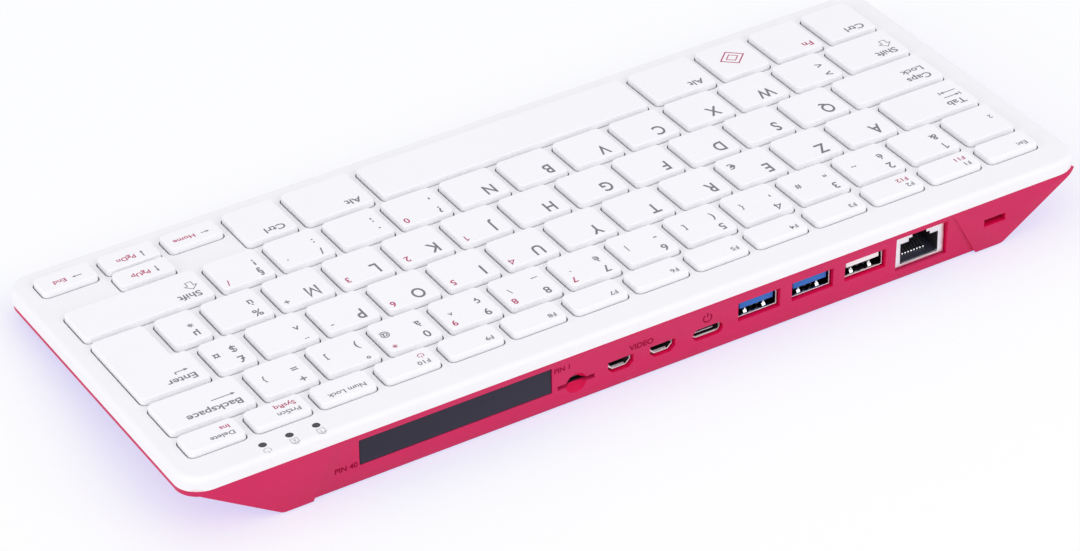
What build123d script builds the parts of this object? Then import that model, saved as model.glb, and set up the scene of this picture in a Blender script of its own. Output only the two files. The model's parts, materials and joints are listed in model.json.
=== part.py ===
from build123d import *
from math import cos, radians, sin, tan
import os

# Keyboard grid, in millimetres
key_pitch = 19.05
key_gap = 2.6
row_pitch = 18.56
row_gap = 2.2
function_key_depth = 9.6
bottom_key_depth = 19.2
half_key_depth = 9.2
row_units = 14.5
function_key_count = 14
number_key_count = 13
letter_key_count = 11
letter_rows = 4

# Casing
side_margin = 7.35
front_margin = 6.9
rear_margin = 10.5
key_field_shift = 1.0
deck_tilt = radians(5.6)
rear_height = 21.95
corner_radius = 8.0
case_corner = 5.0
deck_edge_radius = 1.6
deck_wall = 2.0
deck_plate = 1.4
deck_side = 4.4
foot_height = 0.4
case_step = 0.3
case_wall = 2.6
case_floor = 2.0
case_lip = 1.9
bevel_inset = 4.65
bevel_run_share = 1.48
overrun = 40.0

# Fits
key_clearance = 0.35
stem_clearance = 0.2
seam_clearance = 0.15
socket_clearance = 0.35
cover_clearance = 0.2

# Places worked out from those sizes
field_width = row_units * key_pitch
field_depth = function_key_depth + row_gap + letter_rows * row_pitch + bottom_key_depth
overall_width = field_width - key_gap + 2 * side_margin
deck_length = front_margin + field_depth + rear_margin
overall_depth = deck_length * cos(deck_tilt)
half_width = overall_width / 2
half_depth = overall_depth / 2
deck_middle = rear_height - half_depth * tan(deck_tilt)
deck_normal = (0, -sin(deck_tilt), cos(deck_tilt))
deck_axis = Axis((0, 0, 0), deck_normal)
deck_plane = Plane(origin=(0, 0, deck_middle), x_dir=(1, 0, 0), z_dir=deck_normal)
parting_plane = deck_plane.offset(-deck_side)
field_left = key_field_shift - field_width / 2
field_right = key_field_shift + field_width / 2
field_back = deck_length / 2 - rear_margin
field_front = field_back - field_depth
field_middle = (field_back + field_front) / 2

os.makedirs("parts", exist_ok=True)


def write_part(piece, name):
    piece.label = name
    export_step(piece, f"parts/{name}.step")


# Key layout: every key is a list of rectangles (x, y, width, depth) on the deck surface
letter_keys = {}
function_row_keys = []
number_row_keys = []
symbol_keys = []
control_keys = []


def lay_row(names, width_shares, back, depth):
    left = field_left
    for name, width_share in zip(names, width_shares):
        cell = width_share * key_pitch
        key = [(left + cell / 2, back - depth / 2, cell - key_gap, depth)]
        left += cell
        if name == "function":
            function_row_keys.append(key)
        elif name == "number":
            number_row_keys.append(key)
        elif name == "symbol":
            symbol_keys.append(key)
        elif name == "control":
            control_keys.append(key)
        elif name == "space":
            letter_keys["space_bar"] = [key]
        else:
            letter_keys[f"key_{name}"] = [key]
    return left


key_depth = row_pitch - row_gap
number_back = field_back - function_key_depth - row_gap
upper_back = number_back - row_pitch
home_back = upper_back - row_pitch
lower_back = home_back - row_pitch
bottom_back = lower_back - row_pitch
function_share = row_units / function_key_count

function_shares = [function_share] * function_key_count
number_shares = [1] * number_key_count + [1.5]
upper_shares = [1.5] + [1] * letter_key_count + [0.75]
home_shares = [1.75] + [1] * letter_key_count + [0.75]
lower_shares = [1.25] + [1] * letter_key_count + [2.25]
left_block_shares = [1, 1, 1, 1.25]
right_block_shares = [1.3, 1]
arrow_columns = 3
space_share = row_units - sum(left_block_shares) - sum(right_block_shares) - arrow_columns * function_share
bottom_shares = left_block_shares + [space_share] + right_block_shares

lay_row(["function"] * function_key_count, function_shares, field_back, function_key_depth)
lay_row(["number"] * number_key_count + ["control"], number_shares, number_back, key_depth)
lay_row(["control", *"azertyuiop", "symbol", "symbol"], upper_shares, upper_back, key_depth)
lay_row(["control", *"qsdfghjklm", "symbol", "symbol"], home_shares, home_back, key_depth)
lower_names = ["control", "symbol", *"wxcvbn", *["symbol"] * 4, "control"]
lay_row(lower_names, lower_shares, lower_back, key_depth)
bottom_names = ["control"] * 4 + ["space"] + ["control"] * 2
arrow_left = lay_row(bottom_names, bottom_shares, bottom_back, bottom_key_depth)

# Arrow cluster: three half-depth keys along the front and one behind the middle one
arrow_cell = function_share * key_pitch
rear_half_depth = bottom_key_depth - half_key_depth - row_gap / 2
arrow_width = arrow_cell - key_gap
for column in range(arrow_columns):
    arrow_x = arrow_left + arrow_cell / 2 + column * arrow_cell
    control_keys.append([(arrow_x, field_front + half_key_depth / 2, arrow_width, half_key_depth)])
    if column == 1:
        control_keys.append([(arrow_x, bottom_back - rear_half_depth / 2, arrow_width, rear_half_depth)])

# Enter key: a tall narrow leg with a wider top, its right edge in line with the other rows
enter_top_share = 1.25
enter_leg_share = 1.0
enter_right = field_right - key_gap / 2
enter_leg = enter_leg_share * key_pitch - key_gap
enter_top = enter_top_share * key_pitch - key_gap
enter_depth = row_pitch + key_depth
enter_key = [
    (enter_right - enter_leg / 2, upper_back - enter_depth / 2, enter_leg, enter_depth),
    (enter_right - enter_top / 2, upper_back - key_depth / 2, enter_top, key_depth),
]

key_groups = dict(letter_keys)
key_groups["enter_key"] = [enter_key]
key_groups["function_row_keys"] = function_row_keys
key_groups["number_row_keys"] = number_row_keys
key_groups["symbol_keys"] = symbol_keys
key_groups["control_keys"] = control_keys
all_keys = [key for group in key_groups.values() for key in group]
stem_places = [key[0][:2] for key in all_keys]


def cut_corner_outline(width, depth, corner):
    half = width / 2
    high = depth / 2
    Polygon(
        (half, high - corner),
        (half - corner, high),
        (corner - half, high),
        (-half, high - corner),
        (-half, corner - high),
        (corner - half, -high),
        (half - corner, -high),
        (half, corner - high),
    )


def key_outlines(keys, grow, corner):
    for key in keys:
        for x, y, width, depth in key:
            with Locations((x, y)):
                if corner:
                    cut_corner_outline(width + 2 * grow, depth + 2 * grow, corner)
                else:
                    Rectangle(width + 2 * grow, depth + 2 * grow)


# Key caps: hollow, with a plunger stem under the middle
cap_rise = 1.9
cap_skirt = 0.5
cap_top = 1.1
cap_wall = 1.0
cap_corner = 1.2
cap_draft = 5
key_travel = 1.4
stem_size = 4.0
travel_spare = 0.1
guide_plate = 0.6
guide_top = -cap_skirt - key_travel - travel_spare
guide_bottom = guide_top - guide_plate
stem_tip = guide_bottom - travel_spare
cap_cavity = cap_rise + cap_skirt - cap_top


def make_keys(name, keys):
    with BuildPart() as caps:
        with BuildSketch(deck_plane.offset(-cap_skirt)):
            key_outlines(keys, 0, cap_corner)
        extrude(amount=cap_rise + cap_skirt, taper=cap_draft)
        with BuildSketch(deck_plane.offset(-cap_skirt)):
            key_outlines(keys, -cap_wall, 0)
        extrude(amount=cap_cavity, mode=Mode.SUBTRACT)
        with BuildSketch(deck_plane.offset(stem_tip)):
            with Locations(*[key[0][:2] for key in keys]):
                Rectangle(stem_size, stem_size)
        extrude(amount=cap_rise - cap_top - stem_tip)
    write_part(caps.part, name)


for group_name, group in key_groups.items():
    make_keys(group_name, group)

# Keyboard deck: a rounded tray, upside down, with a hole for every key and three light holes
light_pitch = 8.0
light_count = 3
light_inset = 33.25
light_setback = 5.0
light_diameter = 2.2
light_places = [(half_width - light_inset, field_back + light_setback)]
light_flange = 3.4
light_flange_depth = 0.6
light_clearance = 0.05
light_sides = 8

with BuildPart() as deck_core:
    with BuildSketch():
        RectangleRounded(
            overall_width - 2 * deck_wall,
            overall_depth - 2 * deck_wall,
            corner_radius - deck_wall,
        )
    extrude(amount=overrun)
    split(bisect_by=deck_plane.offset(-deck_plate), keep=Keep.BOTTOM)

with BuildPart() as keyboard_deck:
    with BuildSketch():
        RectangleRounded(overall_width, overall_depth, corner_radius)
    extrude(amount=overrun)
    split(bisect_by=deck_plane, keep=Keep.BOTTOM)
    split(bisect_by=parting_plane, keep=Keep.TOP)
    fillet(keyboard_deck.faces().sort_by(deck_axis)[-1].edges(), deck_edge_radius)
    add(deck_core.part, mode=Mode.SUBTRACT)
    with BuildSketch(deck_plane):
        key_outlines(all_keys, key_clearance, 0)
        with Locations(*light_places):
            with GridLocations(light_pitch, 0, light_count, 1):
                RegularPolygon(light_diameter / 2 + light_clearance, light_sides)
    extrude(amount=-deck_side, mode=Mode.SUBTRACT)
write_part(keyboard_deck.part, "keyboard_deck")

with BuildPart() as led_light_pipes:
    with BuildSketch(deck_plane.offset(-deck_plate)):
        with Locations(*light_places):
            with GridLocations(light_pitch, 0, light_count, 1):
                RegularPolygon(light_diameter / 2, light_sides)
    extrude(amount=deck_plate)
    with BuildSketch(deck_plane.offset(-deck_plate)):
        with Locations(*light_places):
            with GridLocations(light_pitch, 0, light_count, 1):
                RegularPolygon(light_flange / 2, light_sides)
    extrude(amount=-light_flange_depth)
write_part(led_light_pipes.part, "led_light_pipes")

# Keyboard stack under the deck: guide frame, domes, membrane and backplate
frame_edge = 1.9
frame_rim = 1.3
dome_sheet_thickness = 0.2
membrane_thickness = 0.2
backplate_thickness = 0.4
dome_size = 6.0
dome_taper = 25
dome_gap = 0.05
stack_width = field_width - key_gap + 2 * frame_edge
stack_depth = field_depth + 2 * frame_edge
dome_floor = stem_tip - key_travel - travel_spare
membrane_top = dome_floor - dome_sheet_thickness
backplate_top = membrane_top - membrane_thickness
backplate_bottom = backplate_top - backplate_thickness
stack_centre = (key_field_shift, field_middle)
stack_corner = 3.0

with BuildPart() as key_guide_frame:
    with BuildSketch(deck_plane.offset(dome_floor)):
        with Locations(stack_centre):
            cut_corner_outline(stack_width, stack_depth, stack_corner)
            Rectangle(stack_width - 2 * frame_rim, stack_depth - 2 * frame_rim, mode=Mode.SUBTRACT)
    extrude(amount=-deck_plate - dome_floor)
    with BuildSketch(deck_plane.offset(guide_bottom)):
        with Locations(stack_centre):
            cut_corner_outline(stack_width - frame_rim, stack_depth - frame_rim, stack_corner)
        with Locations(*stem_places):
            Rectangle(stem_size + 2 * stem_clearance, stem_size + 2 * stem_clearance, mode=Mode.SUBTRACT)
    extrude(amount=guide_plate)
write_part(key_guide_frame.part, "key_guide_frame")

with BuildPart() as dome_sheet:
    with BuildSketch(deck_plane.offset(membrane_top)):
        with Locations(stack_centre):
            cut_corner_outline(stack_width, stack_depth, stack_corner)
    extrude(amount=dome_sheet_thickness)
    with BuildSketch(deck_plane.offset(dome_floor)):
        with Locations(*stem_places):
            Rectangle(dome_size, dome_size)
    extrude(amount=stem_tip - dome_gap - dome_floor, taper=dome_taper)
write_part(dome_sheet.part, "dome_sheet")

with BuildPart() as membrane_circuit:
    with BuildSketch(deck_plane.offset(backplate_top)):
        with Locations(stack_centre):
            cut_corner_outline(stack_width, stack_depth, stack_corner)
    extrude(amount=membrane_thickness)
write_part(membrane_circuit.part, "membrane_circuit")

# Base case: the deck's outline carried down to the floor, bevelled at both ends and at the front
front_bevel_share = 1.2
panel_top_setback = 0.4
panel_lean = radians(2.5)
panel_wall = 1.6
panel_top_half = 99.4
panel_foot_half = 107.6
panel_band = 1.2
vent_count = 9
vent_rows = 2
vent_pitch = 8.0
vent_width = 2.2
vent_length = 15.0
vent_row_pitch = 21.0
vent_middle = 12.0
lock_width = 7.4
lock_height = 2.5
lock_room = 1.4
lock_wall = 0.9
lock_pocket = 2.6
lock_inset = 30.35
lock_level = 9.7
floor_top = foot_height + case_floor
outer_half_width = half_width - case_step
outer_half_depth = half_depth - case_step
parting_rear = rear_height - deck_side / cos(deck_tilt)
parting_front = parting_rear - overall_depth * tan(deck_tilt)
panel_top = parting_rear - panel_band
panel_face = outer_half_depth - panel_top_setback
wall_inside = panel_face - (panel_top - foot_height) * tan(panel_lean) - panel_wall


def bevel_plane(side, inward):
    # The plane that starts inside the lower edge of the lip and slopes in towards the floor
    lip_edge = (side * (outer_half_width - bevel_inset), half_depth, parting_rear - case_lip)
    run = Vector(side * bevel_run_share, 0, 1)
    slope = Vector(0, cos(deck_tilt), sin(deck_tilt))
    normal = run.cross(slope).normalized()
    if normal.X * side < 0:
        normal = -normal
    return Plane(origin=Vector(*lip_edge) - normal * inward, z_dir=normal)


def front_plane(inward):
    lip_edge = (0, -outer_half_depth, parting_front - case_lip)
    normal = Vector(0, -1, -front_bevel_share).normalized()
    return Plane(origin=Vector(*lip_edge) - normal * inward, z_dir=normal)


with BuildPart() as case_core:
    with BuildSketch(Plane.XY.offset(floor_top)):
        with Locations((0, (wall_inside - outer_half_depth + case_wall) / 2)):
            RectangleRounded(
                2 * (outer_half_width - case_wall),
                wall_inside + outer_half_depth - case_wall,
                corner_radius - case_wall,
            )
    extrude(amount=overrun)
    split(bisect_by=bevel_plane(-1, case_wall), keep=Keep.BOTTOM)
    split(bisect_by=bevel_plane(1, case_wall), keep=Keep.BOTTOM)
    split(bisect_by=front_plane(case_wall), keep=Keep.BOTTOM)

stack_gap = 0.3
bevel_foot_radius = 3.0


def is_bevel_foot(edge):
    # An edge along the floor that runs from the front to the rear
    first, second = edge.vertices()
    on_floor = all(abs(end.Z - foot_height) < seam_clearance for end in (first, second))
    return on_floor and abs(first.Y - second.Y) > half_depth


with BuildPart() as case_lip_band:
    with BuildSketch():
        RectangleRounded(2 * outer_half_width, 2 * outer_half_depth, corner_radius - case_step)
    extrude(amount=overrun)
    split(bisect_by=parting_plane, keep=Keep.BOTTOM)
    split(bisect_by=parting_plane.offset(-case_lip * cos(deck_tilt)), keep=Keep.TOP)

lip_rise = 1.0
lip_inset = deck_wall + seam_clearance
with BuildPart() as case_lip_ring:
    with BuildSketch():
        RectangleRounded(
            overall_width - 2 * lip_inset,
            overall_depth - 2 * lip_inset,
            corner_radius - lip_inset,
        )
    extrude(amount=overrun)
    split(bisect_by=parting_plane.offset(lip_rise), keep=Keep.BOTTOM)
    split(bisect_by=parting_plane, keep=Keep.TOP)

# Rear sockets, in a chain along the panel from the network socket to the pin header
network_x = -88.95
network_pitch = 19.25
data_pitch = 17.8
power_pitch = 16.85
video_offset = 14.75
video_pitch = 13.55
card_offset = 14.3
cover_gap = 7.9
pin_columns = 20
pin_rows = 2
pin_pitch = 2.54
cover_end = 4.3
header_width = pin_columns * pin_pitch
cover_width = header_width + 2 * cover_end
plain_data_x = network_x + network_pitch
fast_data_xs = [plain_data_x + data_pitch, plain_data_x + 2 * data_pitch]
data_xs = [plain_data_x, *fast_data_xs]
power_x = fast_data_xs[-1] + power_pitch
video_xs = [power_x + video_offset, power_x + video_offset + video_pitch]
card_x = video_xs[-1] + card_offset
header_x = card_x + cover_gap + cover_width / 2

board_top = 5.65
board_thickness = 1.4
board_bottom = board_top - board_thickness
socket_setback = 1.6
mouth = panel_face - socket_setback

network_width = 16.9
network_bottom = 3.7
network_height = 11.15
network_depth = 13.0
network_middle = network_bottom + network_height / 2
data_width = 13.2
data_height = 5.9
data_depth = 14.0
data_middle = 10.15
power_width = 9.2
power_height = 3.4
power_depth = 7.5
power_middle = board_top + power_height / 2
video_width = 7.5
video_height = 3.5
video_depth = 7.5
video_middle = board_top + video_height / 2
video_cheek = 1.5
cover_height = 8.5
cover_middle = 10.5
cover_depth = 6.0
cover_wall = 1.2
cover_plate = 1.5
cover_setback = 0.4
cover_front = panel_face - cover_setback
slot_width = 11.8
slot_height = 1.5
slot_level = 6.9
scoop_radius = 4.2
scoop_depth = 2.1
scoop_drop = 0.4
arch_radius = 3.0
arch_drop = 1.5
board_margin = 8.0
board_depth = 60.0
board_gap = 0.3
board_left = network_x - network_width / 2 - board_margin
board_right = header_x + cover_width / 2 + board_margin / 2
board_rear = wall_inside - board_gap
board_front = board_rear - board_depth
board_middle = (board_left + board_right) / 2
screw_inset = 11.0
screw_setback = 22.0
screw_sides = 6
screw_head = 4.8
screw_head_height = 1.3
screw_shank = 2.2
screw_clearance = 0.05
boss_diameter = 6.0
screw_places = [
    (x, y)
    for x in (board_left + screw_inset, board_right - screw_inset)
    for y in (board_front + screw_inset, board_rear - screw_setback)
]
foot_length = 22.0
foot_width = 8.0
foot_corner = 2.5
foot_sink = 0.7
foot_inset = 42.0
foot_front_inset = 26.0
foot_setback = 14.0
foot_places = [
    (side * (half_width - inset), y)
    for side in (-1, 1)
    for inset, y in ((foot_inset, half_depth - foot_setback), (foot_front_inset, foot_setback - half_depth))
]
rear_plane = Plane(origin=(0, mouth, 0), x_dir=(-1, 0, 0), z_dir=(0, 1, 0))


def video_outline(grow):
    half = video_width / 2 + grow
    high = video_height / 2 + grow
    Polygon(
        (-half, high),
        (half, high),
        (half, video_cheek - high),
        (half - video_cheek, -high),
        (video_cheek - half, -high),
        (-half, video_cheek - high),
    )


def power_outline(grow):
    high = power_height + 2 * grow
    SlotOverall(power_width + 2 * grow, high)


with BuildPart() as base_case:
    with BuildSketch(Plane.XY.offset(foot_height)):
        RectangleRounded(2 * outer_half_width, 2 * outer_half_depth, case_corner)
    extrude(amount=overrun)
    split(bisect_by=parting_plane, keep=Keep.BOTTOM)
    split(bisect_by=bevel_plane(-1, 0), keep=Keep.BOTTOM)
    split(bisect_by=bevel_plane(1, 0), keep=Keep.BOTTOM)
    split(bisect_by=front_plane(0), keep=Keep.BOTTOM)
    foot_edges = base_case.edges().filter_by(is_bevel_foot)
    fillet(foot_edges, bevel_foot_radius)
    add(case_lip_band.part)
    add(case_lip_ring.part)
    add(case_core.part, mode=Mode.SUBTRACT)
    # Room for the keyboard stack, which reaches a little below the seam
    with BuildSketch(deck_plane.offset(backplate_bottom - stack_gap)):
        with Locations(stack_centre):
            cut_corner_outline(stack_width + 2 * stack_gap, stack_depth + 2 * stack_gap, stack_corner)
    extrude(amount=overrun, mode=Mode.SUBTRACT)
    # Pocket behind the lock slot, where the lock's bar turns
    lock_place = (half_width - lock_inset, lock_level)
    with BuildSketch(Plane(origin=(0, wall_inside, 0), x_dir=(-1, 0, 0), z_dir=(0, 1, 0))):
        with Locations(lock_place):
            lock_rim = 2 * (lock_room + lock_wall)
            Rectangle(lock_width + lock_rim, lock_height + lock_rim)
    extrude(amount=-lock_pocket - lock_wall)
    with BuildSketch(Plane(origin=(0, wall_inside, 0), x_dir=(-1, 0, 0), z_dir=(0, 1, 0))):
        with Locations(lock_place):
            Rectangle(lock_width + 2 * lock_room, lock_height + 2 * lock_room)
    extrude(amount=-lock_pocket, mode=Mode.SUBTRACT)
    # Port panel, leaning in below a band under the seam and flaring out towards the floor
    panel_normal = (0, cos(panel_lean), -sin(panel_lean))
    panel_origin = (0, panel_face, panel_top)
    with BuildSketch(Plane(origin=panel_origin, x_dir=(-1, 0, 0), z_dir=panel_normal)):
        with BuildLine():
            Polyline(
                (-panel_top_half, 0),
                (panel_top_half, 0),
                (panel_foot_half, foot_height - panel_top),
                (panel_foot_half, -overrun),
                (-panel_foot_half, -overrun),
                (-panel_foot_half, foot_height - panel_top),
                close=True,
            )
        make_face()
    extrude(amount=overrun, mode=Mode.SUBTRACT)
    # Socket openings, the card slot and the lock slot
    with BuildSketch(rear_plane):
        with Locations((-network_x, network_middle)):
            Rectangle(network_width + 2 * socket_clearance, network_height + 2 * socket_clearance)
        for x in data_xs:
            with Locations((-x, data_middle)):
                Rectangle(data_width + 2 * socket_clearance, data_height + 2 * socket_clearance)
        with Locations((-power_x, power_middle)):
            power_outline(socket_clearance)
        for x in video_xs:
            with Locations((-x, video_middle)):
                video_outline(socket_clearance)
        with Locations((-card_x, slot_level)):
            Rectangle(slot_width, slot_height)
        with Locations((-header_x, cover_middle)):
            Rectangle(cover_width + 2 * cover_clearance, cover_height + 2 * cover_clearance)
        with Locations(lock_place):
            Rectangle(lock_width, lock_height)
    extrude(amount=case_wall, both=True, mode=Mode.SUBTRACT)
    # Finger notch at the card slot: an arch over the slot and a dish round both
    with BuildSketch(rear_plane):
        with Locations((-card_x, slot_level - arch_drop)):
            Circle(arch_radius)
        with Locations((-card_x, slot_level)):
            arch_align = (Align.CENTER, Align.MIN)
            Rectangle(slot_width, scoop_radius, align=arch_align, mode=Mode.INTERSECT)
    extrude(amount=case_wall, both=True, mode=Mode.SUBTRACT)
    with Locations((card_x, panel_face + scoop_radius - scoop_depth, slot_level - scoop_drop)):
        Sphere(scoop_radius, mode=Mode.SUBTRACT)
    # Bosses for the board, vent slots and foot recesses in the floor
    with BuildSketch(Plane.XY.offset(floor_top)):
        with Locations(*screw_places):
            RegularPolygon(boss_diameter / 2, screw_sides)
            RegularPolygon(screw_shank / 2 + screw_clearance, screw_sides, mode=Mode.SUBTRACT)
    extrude(amount=board_bottom - floor_top)
    with BuildSketch(Plane.XY.offset(foot_height)):
        with Locations(*foot_places):
            cut_corner_outline(foot_length, foot_width, foot_corner)
    extrude(amount=foot_sink, mode=Mode.SUBTRACT)
    with BuildSketch(Plane.XY.offset(foot_height)):
        with Locations((0, vent_middle)):
            with GridLocations(vent_pitch, vent_row_pitch, vent_count, vent_rows):
                Rectangle(vent_width, vent_length)
    extrude(amount=case_floor, mode=Mode.SUBTRACT)
write_part(base_case.part, "base_case")

with BuildPart() as rubber_feet:
    with BuildSketch():
        with Locations(*foot_places):
            cut_corner_outline(foot_length, foot_width, foot_corner)
    extrude(amount=foot_height + foot_sink)
write_part(rubber_feet.part, "rubber_feet")

# Backplate with the slot that lets the ribbon through, and the ribbon down to the board
ribbon_x = 66.0
ribbon_width = 18.0
ribbon_thickness = 0.2
ribbon_bend = 2.0
ribbon_slot = 5.0
ribbon_slot_spare = 1.0
ribbon_start = 2.0
ribbon_reach = 12.0
ribbon_lift = 0.9
ribbon_level = board_top + ribbon_lift
ribbon_top = deck_middle + ribbon_start * tan(deck_tilt) + backplate_top / cos(deck_tilt)
connector_width = 21.0
connector_depth = 4.5
connector_height = 1.9

with BuildPart() as keyboard_backplate:
    with BuildSketch(deck_plane.offset(backplate_bottom)):
        with Locations(stack_centre):
            cut_corner_outline(stack_width, stack_depth, stack_corner)
        with Locations((ribbon_x, ribbon_start)):
            Rectangle(ribbon_width + 2 * ribbon_slot_spare, ribbon_slot, mode=Mode.SUBTRACT)
    extrude(amount=backplate_thickness)
write_part(keyboard_backplate.part, "keyboard_backplate")

ribbon_begin = (ribbon_x, ribbon_start, ribbon_top - ribbon_thickness / 2)
with BuildPart() as keyboard_ribbon:
    with BuildLine() as ribbon_path:
        FilletPolyline(
            ribbon_begin,
            (ribbon_x, ribbon_start, ribbon_level),
            (ribbon_x, ribbon_start + ribbon_reach, ribbon_level),
            radius=ribbon_bend,
        )
    with BuildSketch(Plane(origin=ribbon_begin, x_dir=(1, 0, 0), z_dir=(0, 0, -1))):
        Rectangle(ribbon_width, ribbon_thickness)
    sweep(path=ribbon_path.line)
write_part(keyboard_ribbon.part, "keyboard_ribbon")

# Main board, notched round the network socket and the header's cover
notch_gap = 0.3
notch_front = mouth - network_depth - notch_gap
cover_notch_front = cover_front - cover_depth - notch_gap
with BuildPart() as main_board:
    with BuildSketch(Plane.XY.offset(board_bottom)):
        with Locations((board_middle, (board_front + board_rear) / 2)):
            Rectangle(board_right - board_left, board_depth)
        with Locations((network_x, notch_front)):
            Rectangle(
                network_width + 2 * notch_gap,
                overrun,
                align=(Align.CENTER, Align.MIN),
                mode=Mode.SUBTRACT,
            )
        with Locations((header_x, cover_notch_front)):
            Rectangle(
                cover_width + 2 * notch_gap,
                overrun,
                align=(Align.CENTER, Align.MIN),
                mode=Mode.SUBTRACT,
            )
        with Locations(*screw_places):
            RegularPolygon(screw_shank / 2 + screw_clearance, screw_sides, mode=Mode.SUBTRACT)
    extrude(amount=board_thickness)
write_part(main_board.part, "main_board")

with BuildPart() as board_screws:
    with BuildSketch(Plane.XY.offset(board_top)):
        with Locations(*screw_places):
            RegularPolygon(screw_head / 2, screw_sides)
    extrude(amount=screw_head_height)
    with BuildSketch(Plane.XY.offset(floor_top)):
        with Locations(*screw_places):
            RegularPolygon(screw_shank / 2, screw_sides)
    extrude(amount=board_top - floor_top)
write_part(board_screws.part, "board_screws")

# Processor under its pad and the heat spreader
processor_x = -8.0
processor_y = 20.0
processor_size = 15.0
processor_base = 0.6
processor_lid = 13.4
processor_lid_height = 0.5
pad_size = 16.0
pad_thickness = 0.5
spreader_width = 112.0
spreader_depth = 30.0
spreader_thickness = 1.2
spreader_corner = 5.0
processor_place = (processor_x, processor_y)
processor_top = board_top + processor_base + processor_lid_height
spreader_bottom = processor_top + pad_thickness

with BuildPart() as processor:
    with BuildSketch(Plane.XY.offset(board_top)):
        with Locations(processor_place):
            Rectangle(processor_size, processor_size)
    extrude(amount=processor_base)
    with BuildSketch(Plane.XY.offset(board_top + processor_base)):
        with Locations(processor_place):
            Rectangle(processor_lid, processor_lid)
    extrude(amount=processor_lid_height)
write_part(processor.part, "processor")

with BuildPart() as thermal_pad:
    with BuildSketch(Plane.XY.offset(processor_top)):
        with Locations(processor_place):
            Rectangle(pad_size, pad_size)
    extrude(amount=pad_thickness)
write_part(thermal_pad.part, "thermal_pad")

with BuildPart() as heat_spreader:
    with BuildSketch(Plane.XY.offset(spreader_bottom)):
        with Locations(processor_place):
            cut_corner_outline(spreader_width, spreader_depth, spreader_corner)
    extrude(amount=spreader_thickness)
write_part(heat_spreader.part, "heat_spreader")

# Other chips: memory, two controllers, the radio's can, and the ribbon's connector
chip_height = 0.9
memory_width = 12.4
memory_depth = 15.0
controller_size = 8.0
can_width = 13.0
can_depth = 11.0
chip_pitch = 24.0
connector_front = ribbon_start + ribbon_reach
with BuildPart() as board_chips:
    with BuildSketch(Plane.XY.offset(board_top)):
        with Locations((processor_x + chip_pitch, processor_y)):
            Rectangle(memory_width, memory_depth)
        with Locations((processor_x - chip_pitch, processor_y)):
            Rectangle(controller_size, controller_size)
        with Locations((processor_x - 2 * chip_pitch, processor_y)):
            Rectangle(controller_size, controller_size)
        with Locations((processor_x + 2 * chip_pitch, processor_y)):
            Rectangle(can_width, can_depth)
    extrude(amount=chip_height)
    with BuildSketch(Plane.XY.offset(board_top)):
        with Locations((ribbon_x, connector_front)):
            Rectangle(connector_width, connector_depth, align=(Align.CENTER, Align.MIN))
    extrude(amount=connector_height)
write_part(board_chips.part, "board_chips")

# Network socket: shielded shell with a stepped mouth, its insert and eight contacts
network_face = 0.5
network_wall = 0.4
network_fit = 0.05
plug_width = 12.9
plug_height = 7.15
plug_rim = 0.85
latch_wide = 7.2
latch_wide_height = 1.1
latch_narrow = 4.8
latch_narrow_height = 1.1
plug_depth = 10.5
contact_count = 8
contact_pitch = 1.02
contact_width = 0.45
contact_thickness = 0.4
contact_foot = 1.6
contact_rise = 3.8
contact_setback = 3.6
ear_width = 1.6
ear_depth = 4.0
ear_height = 0.5
plug_floor = network_bottom + plug_rim


def plug_outline():
    with Locations((-network_x, plug_floor)):
        Rectangle(plug_width, plug_height, align=(Align.CENTER, Align.MIN))
    with Locations((-network_x, plug_floor + plug_height)):
        Rectangle(latch_wide, latch_wide_height, align=(Align.CENTER, Align.MIN))
    with Locations((-network_x, plug_floor + plug_height + latch_wide_height)):
        Rectangle(latch_narrow, latch_narrow_height, align=(Align.CENTER, Align.MIN))


with BuildPart() as network_shell:
    with BuildSketch(rear_plane):
        with Locations((-network_x, network_middle)):
            Rectangle(network_width, network_height)
    extrude(amount=-network_depth)
    with BuildSketch(rear_plane.offset(-network_face)):
        with Locations((-network_x, network_middle)):
            Rectangle(network_width - 2 * network_wall, network_height - 2 * network_wall)
    extrude(amount=-network_depth, mode=Mode.SUBTRACT)
    with BuildSketch(rear_plane):
        plug_outline()
    extrude(amount=-network_face, mode=Mode.SUBTRACT)
    # Ears that stand on the board beside the notch
    with BuildSketch(Plane.XY.offset(board_top)):
        for side in (-1, 1):
            with Locations((network_x + side * (network_width + ear_width) / 2, mouth - network_depth / 2)):
                Rectangle(ear_width, ear_depth)
    extrude(amount=ear_height)
write_part(network_shell.part, "network_shell")

insert_width = network_width - 2 * (network_wall + network_fit)
insert_height = network_height - 2 * (network_wall + network_fit)
with BuildPart() as network_insert:
    with BuildSketch(rear_plane.offset(-network_face)):
        with Locations((-network_x, network_middle)):
            Rectangle(insert_width, insert_height)
    extrude(amount=network_face - network_depth)
    with BuildSketch(rear_plane):
        plug_outline()
    extrude(amount=-plug_depth, mode=Mode.SUBTRACT)
write_part(network_insert.part, "network_insert")

with BuildPart() as network_contacts:
    contact_front = mouth - contact_setback
    contact_back = mouth - plug_depth
    contact_plane = Plane(origin=(network_x - contact_width / 2, 0, 0), x_dir=(0, 1, 0), z_dir=(1, 0, 0))
    first_contact = -(contact_count - 1) / 2
    for number in range(contact_count):
        with BuildSketch(contact_plane.offset((first_contact + number) * contact_pitch)):
            with BuildLine():
                Polyline(
                    (contact_front, plug_floor),
                    (contact_front, plug_floor + contact_thickness),
                    (contact_back, plug_floor + contact_rise + contact_thickness),
                    (contact_back, plug_floor + contact_rise),
                    (contact_front - contact_foot, plug_floor),
                    close=True,
                )
            make_face()
        extrude(amount=contact_width)
write_part(network_contacts.part, "network_contacts")

# Data sockets: sheet shells on solder legs, with an insert and a tongue each
data_wall = 0.35
data_fit = 0.05
data_leg = 1.2
data_leg_depth = 0.8
insert_depth = 5.0
tongue_width = 11.0
tongue_height = 2.2
tongue_rise = 0.75
tongue_setback = 0.3
data_bottom = data_middle - data_height / 2

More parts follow.
